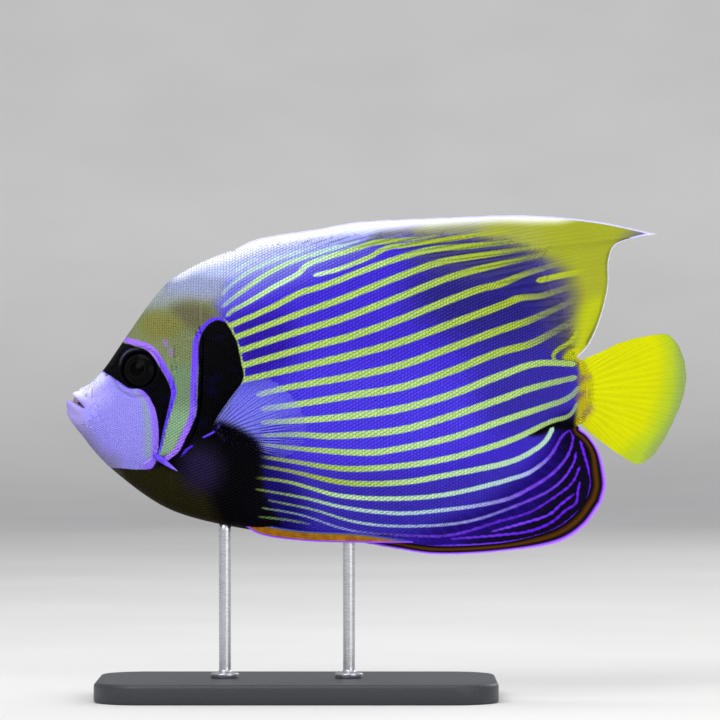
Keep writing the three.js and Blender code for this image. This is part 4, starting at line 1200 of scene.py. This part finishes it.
def fin_piece(name, fin, flip=1):
    """Closed mesh of a fin from its grid, and its points, first those in front and then those behind."""
    offset = fin["facing"] * fin["half"][..., None]
    front = (fin["middle"] + offset).reshape(-1, 3) * (1, flip, 1)
    back = (fin["middle"] - offset).reshape(-1, 3) * (1, flip, 1)
    points = np.vstack([front, back])
    columns, rows = fin["half"].shape
    under = columns * rows
    sheet = grid_quads(columns, rows)
    rim = rim_of(np.arange(under).reshape(columns, rows))
    follow = np.roll(rim, -1)
    wall = np.stack([rim, follow, follow + under, rim + under], -1)
    quads = np.concatenate([sheet, sheet[:, ::-1] + under, wall[:, ::-1]])
    return new_piece(name, points, quads if flip > 0 else quads[:, ::-1]), points


def both(values):
    """Values for the points in front and again for those behind."""
    return np.tile(np.ravel(values), 2)


DORSAL_RAY = edge_ray(
    [(-72, 220), (-38.5, 223), (-10, 221.5), (20, 216.5), (50, 205.5), (74, 191), (90, 176.5),
     (98, 168.5)],
    [(-71.5, 223.8), (-65, 227.6), (-57, 230.2), (-28, 234.8), (-12, 237.8), (36, 240.4), (74, 241.4),
     (110, 238.3), (140, 232)],
    [(140, 232), (130, 230.2), (119, 226.3), (116, 219), (115.6, 206), (111.5, 189), (105.5, 176),
     (100.2, 170.4)], 16 / 33, 1)
ANAL_RAY = edge_ray(
    [(-10, 84), (11.5, 86), (36.5, 93), (61.5, 105.5), (80, 122), (92, 134.5), (97, 139)],
    [(-10, 78.2), (10, 74.4), (28, 71.8), (62, 73.2), (92, 78.2), (104, 86), (112.5, 97.5)],
    [(112.5, 97.5), (114.6, 106), (113.6, 115), (110.5, 124.5), (105.4, 131.8), (101.8, 134.6)],
    0.72, 1.1)
TAIL_EDGE = curve([
    (102, 169.2), (111, 172.6), (121.5, 177.6), (136.5, 181.3), (145.5, 181.6), (150.5, 176.5),
    (153.8, 168), (154.6, 159), (152.6, 149), (148.6, 139), (142, 126.5), (136, 119.4),
    (130, 117), (121.5, 121.6), (111.5, 128.8), (102, 136.6)], 0.5)


TAIL_ROOT = {"end_x": 101.6, "middle_x": 103, "top_z": 168.2, "bottom_z": 137.6}
TAIL_TIPS = (0.03, 0.97)  # shares of the edge at which the first and the last ray end


def tail_ray(place):
    x = blend(TAIL_ROOT["end_x"], TAIL_ROOT["middle_x"], np.sin(np.pi * place))
    root = np.stack([x, blend(TAIL_ROOT["top_z"], TAIL_ROOT["bottom_z"], place)], -1)
    return flat_point(root), flat_point(along(TAIL_EDGE, blend(*TAIL_TIPS, place)))


WHITE_EDGE = (0.9, [(0.0, srgb(226, 224, 255)), (0.9, srgb(206, 204, 255))])
ANAL_EDGE = (7.8, [
    (0.0, srgb(190, 134, 255)), (0.9, srgb(172, 112, 252)), (1.7, srgb(116, 56, 214)),
    (2.2, srgb(30, 12, 70)), (2.6, srgb(5, 3, 10)), (3.3, srgb(28, 16, 6)), (4.6, srgb(84, 48, 4)),
    (5.8, srgb(54, 32, 4)), (6.7, srgb(10, 6, 8)), (7.8, srgb(4, 2, 12))])


def dorsal_width(place):
    """The pale edge is thinner along the rear of the dorsal fin."""
    return np.where((place[:, 1] < 230) & (place[:, 0] > 90), 0.5, 1.0)


def anal_width(place):
    """Share of their full width that the bands along the anal fin's edge have at a place."""
    rearward = blend(0.55, 1, smoothstep(place[:, 0], 60, 100))
    return rearward * blend(1, 0.62, smoothstep(place[:, 1], 110, 128))


def even_width(place):
    return np.ones(len(place))


RAY_WAVER = 0.35  # how much a stripe's edge steps from ray to ray
EDGE_REACH = 14
MEDIAN_ROWS = 56  # points along a ray
MEDIAN_PER_RAY = 12
CAUDAL_PER_RAY = 16
# Number of rays, points to a ray, half thickness of rays and membrane at root and tip, bands along the
# edge and the share of each ray that has scales
MEDIAN_FINS = [
    {"name": "dorsal", "ray": DORSAL_RAY, "edge": DORSAL_RAY.edge, "rays": 34, "per_ray": MEDIAN_PER_RAY,
     "crest": (1.25, 0.42), "valley": (0.95, 0.26), "notches": spiny_notches,
     "bands": WHITE_EDGE, "band_width": dorsal_width, "scaled": 0.6, "paint": {}},
    {"name": "anal", "ray": ANAL_RAY, "edge": ANAL_RAY.edge, "rays": 24, "per_ray": MEDIAN_PER_RAY,
     "crest": (1.2, 0.4), "valley": (0.9, 0.26), "notches": soft_notches,
     "bands": ANAL_EDGE, "band_width": anal_width, "scaled": 0.55, "paint": {}},
    {"name": "caudal", "ray": tail_ray, "edge": TAIL_EDGE, "rays": 19, "per_ray": CAUDAL_PER_RAY,
     "crest": (1.45, 0.4), "valley": (1.15, 0.26), "notches": soft_notches,
     "bands": None, "band_width": even_width, "scaled": 0.13,
     "paint": {"striped": False, "ground": TAIL_GROUND, "patches": TAIL_PATCHES}},
]


def make_median_fin(fin, seed):
    """One middle fin as a ridged sheet, with scales on the part of it that is nearer the body."""
    name = fin["name"]
    material = marked_material(f"{name}_paint", fin["bands"])
    grid = fin_grid(fin["ray"], fin["rays"], fin["crest"], fin["valley"], fin["notches"], fin["per_ray"],
                    MEDIAN_ROWS)

    def fields_at(points):
        place = points[:, [0, 2]]
        from_edge, _ = nearest(place, fin["edge"], EDGE_REACH)
        fields = markings(points, with_head=False, **fin["paint"])
        return {**fields, "edge": from_edge / fin["band_width"](place)}

    piece, points = fin_piece(f"{name}_sheet", grid)
    fields = fields_at(points)
    fields["stripe"] = fields["stripe"] + RAY_WAVER * (both(grid["crest"]) - 0.5)
    paint(piece, {**fields, "tone": both(grid["crest"]) * 2 - 1})
    finish_piece(piece, material, [f"{name}_fin"])
    make_fin_scales(name, grid, fin["scaled"], material, fields_at, np.random.default_rng(seed))


# Size at the body and furthest up, depth of the root in the fin, and points across a scale
FIN_SCALE = {"root": 1.4, "last": 0.9, "sunk": 0.01, "across": 4}
SPARSE_FROM = 0.6  # share of the scaled part from which on scales are left out here and there


def fin_scale_places(grid, scaled_share, rng):
    """Column and row on a fin's grid, and size, of each scale."""
    middle = grid["middle"]
    columns, rows = grid["half"].shape
    each = np.arange(columns)
    lengths = np.linalg.norm(middle[:, -1] - middle[:, 0], axis=1)
    typical = float(np.median(lengths)) * scaled_share
    placed, height, odd = [], 0.0, False
    while height < lengths.max() * scaled_share:
        size = blend(FIN_SCALE["root"], FIN_SCALE["last"], min(height / typical, 1)) * QUICK_FACTOR
        share = height / lengths
        row = np.minimum(share, scaled_share) * (rows - 1)
        low = row.astype(int)
        line = blend(middle[each, low], middle[each, low + 1], (row - low)[:, None])
        reach = np.append(0, np.cumsum(np.linalg.norm(np.diff(line, axis=0), axis=1)))
        at = np.arange(size * (1 if odd else 0.5), reach[-1], size)
        column = np.interp(at, reach, each)
        here = np.interp(column, each, share)
        sparse = smoothstep(here, scaled_share * SPARSE_FROM, scaled_share)
        kept = (here < scaled_share) & (rng.uniform(0, 1, len(at)) >= sparse)
        placed.append(np.stack([column, np.interp(column, each, row), np.full(len(at), size)], -1)[kept])
        height += size * ROW_STEP
        odd = not odd
    return np.vstack(placed).T


def make_fin_scales(name, grid, scaled_share, material, fields_at, rng):
    """Scales go on up the scaled part of a fin, smaller towards its edge."""
    middle, half = grid["middle"], grid["half"]
    columns, rows = half.shape
    column, row, size = fin_scale_places(grid, scaled_share, rng)
    c, r = column.astype(int).clip(0, columns - 2), row.astype(int).clip(0, rows - 2)

    def sample(values):
        across, up = (v.reshape(-1, *[1] * (values.ndim - 2)) for v in (column - c, row - r))
        near = blend(values[c, r], values[c + 1, r], across)
        far = blend(values[c, r + 1], values[c + 1, r + 1], across)
        return blend(near, far, up)

    spot, thick = sample(middle), sample(half)
    up_ray = unit(middle[c, r + 1] - middle[c, r])
    for side, sign in SIDES:
        normal = np.tile([0.0, sign, 0.0], (len(spot), 1))
        roots = spot + normal * (thick[:, None] - FIN_SCALE["sunk"])
        unwrap = np.stack([MAP_MARGIN + (1 - 2 * MAP_MARGIN) * column / columns,
                           0.5 + sign * (MAP_MARGIN + (0.5 - 2 * MAP_MARGIN) * row / rows)], -1)
        make_coat(f"scales_{name}_{side}", material, roots, up_ray, normal, size, unwrap,
                  FIN_SCALE["across"], rng, fields_at)


PECTORAL_HIGH, PECTORAL_LOW = np.array([-82.6, 134.6]), np.array([-77.2, 128.6])
PECTORAL_EDGE = curve([(-65.5, 159.4), (-53, 159.6), (-47, 156.2), (-40.6, 149.8), (-36.2, 142.4),
                       (-34.8, 134), (-37.6, 126), (-45.6, 120.6)], 0.5)
PECTORAL = {"rays": 16, "per_ray": 10, "rows": 60,
            "crest": (0.85, 0.3), "valley": (0.4, 0.16), "flare": 15, "sunk": 1.6, "bend": 2.2,
            "facing": (-0.33, 0.93, 0.05), "shade_soft": 2.5, "shade_clear": 0.8, "flesh": (0.02, 0.16)}


def on_flank(xz, out):
    """Points that stand out from the right flank at places seen from the side."""
    return np.stack([xz[:, 0], side_y(xz[:, 0], xz[:, 1]) + out, xz[:, 1]], -1)


def pectoral_ray(place):
    root = blend(PECTORAL_HIGH, PECTORAL_LOW, place[:, None])
    flare = PECTORAL["flare"] * blend(0.75, 1, np.sin(np.pi * place))
    return on_flank(root, -PECTORAL["sunk"]), on_flank(along(PECTORAL_EDGE, place), flare)


def make_pectorals(material):
    """Clear fans, dark where the throat shows through and at their root."""
    grid = fin_grid(pectoral_ray, PECTORAL["rays"], PECTORAL["crest"], PECTORAL["valley"], deep_notches,
                    PECTORAL["per_ray"], PECTORAL["rows"], PECTORAL["bend"],
                    unit(np.array(PECTORAL["facing"])))
    t, place = grid["t"], grid["place"]
    in_throat = depth_in(grid["middle"].reshape(-1, 3)[:, [0, 2]], curve(THROAT, closed=True), REACH)
    soft = PECTORAL["shade_soft"]
    dark = 1 - smoothstep(in_throat.reshape(t.shape), -soft, soft)
    root = 1 - smoothstep(t, *PECTORAL["flesh"])
    low = smoothstep(place, 0.45, 0.75)[:, None] * smoothstep(t, 0.4, 0.6)
    low_gap = low * (1 - smoothstep(grid["crest"], 0.35, 0.75))
    leading = bump(place, 0.02)[:, None] * (1 - smoothstep(t, 0.5, 0.9))
    streak = np.maximum.reduce([root * 0.9, 0.6 * leading, dark, 0.8 * low_gap])
    cover = blend(1, 0.3, smoothstep(t, 0.5, 1)) * (1 - low_gap) * (1 - PECTORAL["shade_clear"] * dark)
    for side, flip in SIDES:
        piece, _ = fin_piece(f"pectoral_{side}", grid, flip)
        paint(piece, {"crest": both(grid["crest"]), "streak": both(streak), "cover": both(cover),
                      "flesh": both(root)})
        finish_piece(piece, material, [f"pectoral_fin_{side}"])


PELVIC_UPPER = curve([(-66.5, 93), (-57, 87.6), (-38.5, 84.2), (-8, 82.4), (18, 78.7)], 0.5)
PELVIC_LOWER = curve([(-69.5, 89.5), (-60, 82.6), (-38.5, 78.9), (-8, 77.8), (18, 77.7)], 0.5)
PELVIC = {"rays": 6, "per_ray": 10, "rows": 120, "root_y": 5,
          "clear_of_rod": 4.4, "tip_y": 3, "off_belly": 0.7, "valley": 0.3, "crest": 0.6, "tip": 0.6}


def make_pelvics(material):
    """Long fins folded back along the belly, past the front rod."""
    per_ray = PELVIC["per_ray"]
    columns = (PELVIC["rays"] - 1) * per_ray + 1
    down = np.linspace(0, 1, columns)[:, None]
    t = np.linspace(0, 1, PELVIC["rows"])[None]
    upper, lower = along(PELVIC_UPPER, t[0]), along(PELVIC_LOWER, t[0])
    spot = blend(upper[None], lower[None], down[..., None])
    lying = np.maximum(side_y(upper[:, 0], upper[:, 1]) + PELVIC["off_belly"], PELVIC["clear_of_rod"])
    free = blend(lying[None], np.minimum(lying, PELVIC["clear_of_rod"])[None], down)
    out = blend(PELVIC["root_y"], blend(free, PELVIC["tip_y"], smoothstep(t, 0.8, 1)),
                smoothstep(t, 0.05, 0.3))
    phase = (np.arange(columns) % per_ray / per_ray)[:, None]
    up = ridge(phase, t + 0 * phase)
    middle = np.stack([spot[..., 0], out, spot[..., 1]], -1)
    half = blend(PELVIC["valley"], PELVIC["crest"], up) * blend(1, PELVIC["tip"], t)
    grid = {"middle": middle, "half": half, "facing": np.broadcast_to([0.0, 1.0, 0.0], middle.shape)}
    width = np.linalg.norm(upper - lower, axis=1)[None]
    for side, flip in SIDES:
        piece, _ = fin_piece(f"pelvic_{side}", grid, flip)
        paint(piece, {"crest": both(up), "edge": both((1 - down) * width), "upper": both(down * width)})
        finish_piece(piece, material, [f"pelvic_fin_{side}"])


# Eyes, teeth and cheek spines

def eye_frame():
    normal = side_normal(np.array([EYE_X]), np.array([EYE_Z]))[0]
    centre = np.array([EYE_X, float(side_y(EYE_X, EYE_Z)), EYE_Z]) - normal * EYE_SUNK
    across = unit(np.cross(normal, [0, 0, 1.0]))
    return centre, normal, across, np.cross(normal, across)


EYE_BULGE = {"high": 0.5, "reach": 0.62}  # of the clear part over the pupil, as a share of the radius


def make_eyes(material):
    """A ball flattened as a fish's is, with a clear bulge over the pupil."""
    rings, around = ((64, 96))
    centre, normal, across, upward = eye_frame()
    polar = np.linspace(0, np.pi, rings + 1)[1:-1, None]
    turn = np.linspace(0, 2 * np.pi, around, endpoint=False)[None]
    out = np.sin(polar) * EYE_RADIUS + 0 * turn
    bulge = EYE_BULGE["high"] * (1 - smoothstep(out, 0, EYE_RADIUS * EYE_BULGE["reach"]))
    high = np.cos(polar) * EYE_DEPTH + np.where(np.cos(polar) > 0, bulge, 0)
    sideways = np.cos(turn)[..., None] * across + np.sin(turn)[..., None] * upward
    ball = centre + out[..., None] * sideways + high[..., None] * normal
    tips = [centre + normal * (EYE_DEPTH + EYE_BULGE["high"]), centre - normal * EYE_DEPTH]
    points = np.vstack([ball.reshape(-1, 3), tips])
    faces = [sheet[:, ::-1] for sheet in ring_faces(rings - 1, around)]
    for side, flip in SIDES:
        piece = new_piece(f"eye_ball_{side}", *on_side(flip, points, *faces))
        paint(piece, {"out": np.r_[out.ravel() / EYE_RADIUS, 0, 1]})
        finish_piece(piece, material, [f"eye_{side}"])


def tube(points, radii, around):
    """Round bar along a line of points, with a radius at each, as points and faces."""
    tangent = unit(np.gradient(points, axis=0))
    aside = unit(np.cross(tangent, [0.0, 0.3, 1.0]))
    upward = np.cross(tangent, aside)
    turn = np.linspace(0, 2 * np.pi, around, endpoint=False)[None, :, None]
    sideways = np.cos(turn) * aside[:, None] + np.sin(turn) * upward[:, None]
    rings = points[:, None] + radii[:, None, None] * sideways
    return np.vstack([rings.reshape(-1, 3), points[:1], points[-1:]]), *ring_faces(len(points), around)


CHEEK_SPINE = [(-112.6, 123.4, -2.2), (-107, 119.4, 0.3), (-102.8, 116.4, 1.3), (-99, 113.8, 1.2)]
CHEEK_SPINE_RADII = [1.3, 1.6, 1.1, 0.12]
CHEEK_SPINE_AROUND = 20


def make_cheek_spines(material):
    x, z, lift = np.array(CHEEK_SPINE).T
    route = curve(np.stack([x, side_y(x, z) + lift, z], -1), 0.3)
    share = np.linspace(0, 1, len(route))
    radii = smooth_line(list(zip(np.linspace(0, 1, len(CHEEK_SPINE_RADII)), CHEEK_SPINE_RADII)))(share)
    shape = tube(route, radii, CHEEK_SPINE_AROUND)
    for side, flip in SIDES:
        piece = new_piece(f"cheek_spine_{side}_fine", *on_side(flip, *shape))
        paint(piece, {"share": np.r_[np.repeat(share, CHEEK_SPINE_AROUND), 0, 1]})
        finish_piece(piece, material, [f"cheek_spine_{side}"])


TEETH = {"in_row": 25, "from_x": -152.0, "turn": 1.15, "round": 3.6, "half_width": 4.6, "slope": 0.767}
# Height over the line of the mouth, way to point and distance behind the lips of each row
TEETH_ROWS = [(1.25, -1, 0.5), (-1.45, 1, 0.2)]
TOOTH_RADII = np.array([0.26, 0.27, 0.24, 0.18, 0.06])


def make_teeth(material):
    """Fine bristle teeth along both lips, as far as the open mouth shows them."""
    rng = np.random.default_rng(SEED + 2)
    shapes, start = [], 0
    for height, way, behind in TEETH_ROWS:
        for turn in np.linspace(-1, 1, TEETH["in_row"]) * TEETH["turn"]:
            x = TEETH["from_x"] + TEETH["round"] * (1 - np.cos(turn)) + behind
            z = MOUTH_FRONT[1] - (x - MOUTH_FRONT[0]) * TEETH["slope"] + height
            foot = np.array([x + 0.6, TEETH["half_width"] * np.sin(turn), z])
            tip = foot + np.array([-0.7, 0, way * rng.uniform(1.0, 1.3)])
            points, *faces = tube(np.linspace(foot, tip, len(TOOTH_RADII)), TOOTH_RADII, 8)
            shapes.append([points] + [sheet + start for sheet in faces])
            start += len(points)
    piece = new_piece("teeth", *(np.concatenate(parts) for parts in zip(*shapes)))
    return finish_piece(piece, material)


# Stand

def make_base(material):
    """Flat slab with round corners and eased edges."""
    corner, edge, lower = BASE["corner"], BASE["edge"], BASE["lower_edge"]
    height, steps = BASE["height"], BASE["corner_steps"]
    quarters = np.arange(4) * np.pi / 2
    turn = np.concatenate([np.linspace(start, start + np.pi / 2, steps) for start in quarters])
    centre_x = BASE["centre"] + np.repeat([1, -1, -1, 1], steps) * (BASE["length"] / 2 - corner)
    centre_y = np.repeat([1, 1, -1, -1], steps) * (BASE["width"] / 2 - corner)
    profile = [(lower, 0), (0, lower)]
    profile += [(edge * (1 - np.cos(a)), height - edge + edge * np.sin(a))
                for a in np.linspace(0, np.pi / 2, BASE["edge_steps"])]
    rings = [np.stack([centre_x + (corner - inset) * np.cos(turn),
                       centre_y + (corner - inset) * np.sin(turn),
                       np.full(len(turn), z)], -1) for inset, z in profile]
    hubs = [[BASE["centre"], 0, 0], [BASE["centre"], 0, height]]
    quads, fans = ring_faces(len(rings), len(turn))
    flat = np.r_[np.zeros(len(quads), bool), np.ones(len(fans), bool)]
    piece = new_piece("stand_plinth", np.vstack([*rings, hubs]), quads, fans, flat)
    return finish_piece(piece, material, ["stand_base"])


def make_rods(material):
    """Each rod with its foot, as a profile that is turned round the rod's axis."""
    floor = BASE["height"] + ROD["foot_height"]
    edge, neck, hole = ROD["foot_edge"], ROD["neck_height"], ROD["end_hole"]
    shoulder = floor + edge
    turn = np.linspace(0, 2 * np.pi, ROD["around"], endpoint=False)
    for name, x in ROD_XS.items():
        top = float(belly_line(x)) + ROD["into_fish"]
        start = BASE["height"] - ROD["into_base"]
        profile = [(hole, start), (ROD["foot_radius"], start), (ROD["foot_radius"], floor)]
        profile += [(ROD["foot_radius"] - edge * (1 - np.cos(a)), floor + edge * np.sin(a))
                    for a in np.linspace(ROD["foot_turn"], np.pi / 2, ROD["foot_steps"])]
        profile += [(blend(ROD["neck_radius"], ROD["radius"], np.sin(a)), shoulder + neck * (1 - np.cos(a)))
                    for a in np.linspace(ROD["neck_turn"], np.pi / 2, ROD["neck_steps"])]
        shaft = np.linspace(BASE["height"] + ROD["shaft_from"], top, ROD["shaft_steps"])
        profile += [(ROD["radius"], z) for z in shaft] + [(hole, top)]
        r, z = np.array(profile).T
        points = np.stack([x + r[:, None] * np.cos(turn), r[:, None] * np.sin(turn),
                           np.repeat(z[:, None], len(turn), axis=1)], -1)
        quads = grid_quads(len(r), len(turn), wrap=True)
        piece = new_piece(f"stand_post_{name}", points.reshape(-1, 3), quads)
        finish_piece(piece, material, [f"stand_rod_{name}"])


# Floor, backdrop, lights and camera

# The round floor is flat around the stand and rises softly to a low wall, which glows a little
STAGE = {"hub": 10, "flat": 2700, "edge": 5700, "rise": 1500, "around": 96, "rings": 40, "glow": 0.28}


def make_stage():
    radii = np.r_[STAGE["hub"], np.linspace(STAGE["flat"], STAGE["edge"], STAGE["rings"])]
    climb = np.clip((radii - STAGE["flat"]) / (STAGE["edge"] - STAGE["flat"]), 0, 1)
    turn = np.linspace(0, 2 * np.pi, STAGE["around"], endpoint=False)
    points = np.stack([radii[:, None] * np.cos(turn), radii[:, None] * np.sin(turn),
                       np.repeat(STAGE["rise"] * climb[:, None]**2, len(turn), axis=1)], -1)
    floor = new_piece("studio_floor", points.reshape(-1, 3), grid_quads(len(radii), len(turn), wrap=True))
    paint(floor, {"glow": np.repeat(STAGE["glow"] * smoothstep(climb, 0, 0.5), len(turn))})
    floor.data.materials.append(paper_material())


SOFTBOXES = [  # name, place, width and power
    ("key_softbox", (-900, -1500, 1500), 1300, 27),
    ("fill_softbox", (1300, -1600, 700), 1500, 14),
    ("top_softbox", (0, 100, 1700), 1400, 16),
    ("rear_softbox", (1400, 1600, 1100), 1100, 14),
]
LIGHTS_AIM = (VIEW_CENTRE[0], 0, 150)
SKY = {"colour": (0.93, 0.95, 1, 1), "strength": 0.45}


def add_light(name, place, size, power):
    data = bpy.data.lights.new(name, "AREA")
    data.shape = "SQUARE"
    data.size = size * MM
    data.energy = power
    light = bpy.data.objects.new(name, data)
    light.location = [v * MM for v in place]
    way = Vector(LIGHTS_AIM) - Vector(place)
    light.rotation_euler = way.to_track_quat("-Z", "Y").to_euler()
    bpy.context.scene.collection.objects.link(light)


def make_light_and_camera():
    scene = bpy.context.scene
    for softbox in SOFTBOXES:
        add_light(*softbox)
    scene.world = bpy.data.worlds.new("studio")
    scene.world.use_nodes = True
    background = scene.world.node_tree.nodes["Background"]
    background.inputs["Color"].default_value = SKY["colour"]
    background.inputs["Strength"].default_value = SKY["strength"]
    scene.view_settings.view_transform = "Standard"
    data = bpy.data.cameras.new("camera")
    data.sensor_width = SENSOR
    data.lens = SENSOR * CAMERA_DISTANCE / VIEW_WIDTH
    data.clip_end = 20
    camera = bpy.data.objects.new("camera", data)
    camera.location = (VIEW_CENTRE[0] * MM, -CAMERA_DISTANCE * MM, VIEW_CENTRE[1] * MM)
    camera.rotation_euler = (np.pi / 2, 0, 0)
    scene.collection.objects.link(camera)
    scene.camera = camera


make_light_and_camera()
make_stage()
skin_paint = marked_material("skin_paint")
scale_paint = marked_material("scale_paint", roughness=0.45)
make_skin(skin_paint)
for number, fin in enumerate(MEDIAN_FINS, start=1):
    make_median_fin(fin, SEED + number)
make_body_scales(scale_paint)
make_pectorals(clear_fin_material())
make_pelvics(pelvic_material())
make_eyes(eye_material())
make_cheek_spines(spine_material())
make_teeth(teeth_material())
make_base(base_material())
make_rods(rod_material())
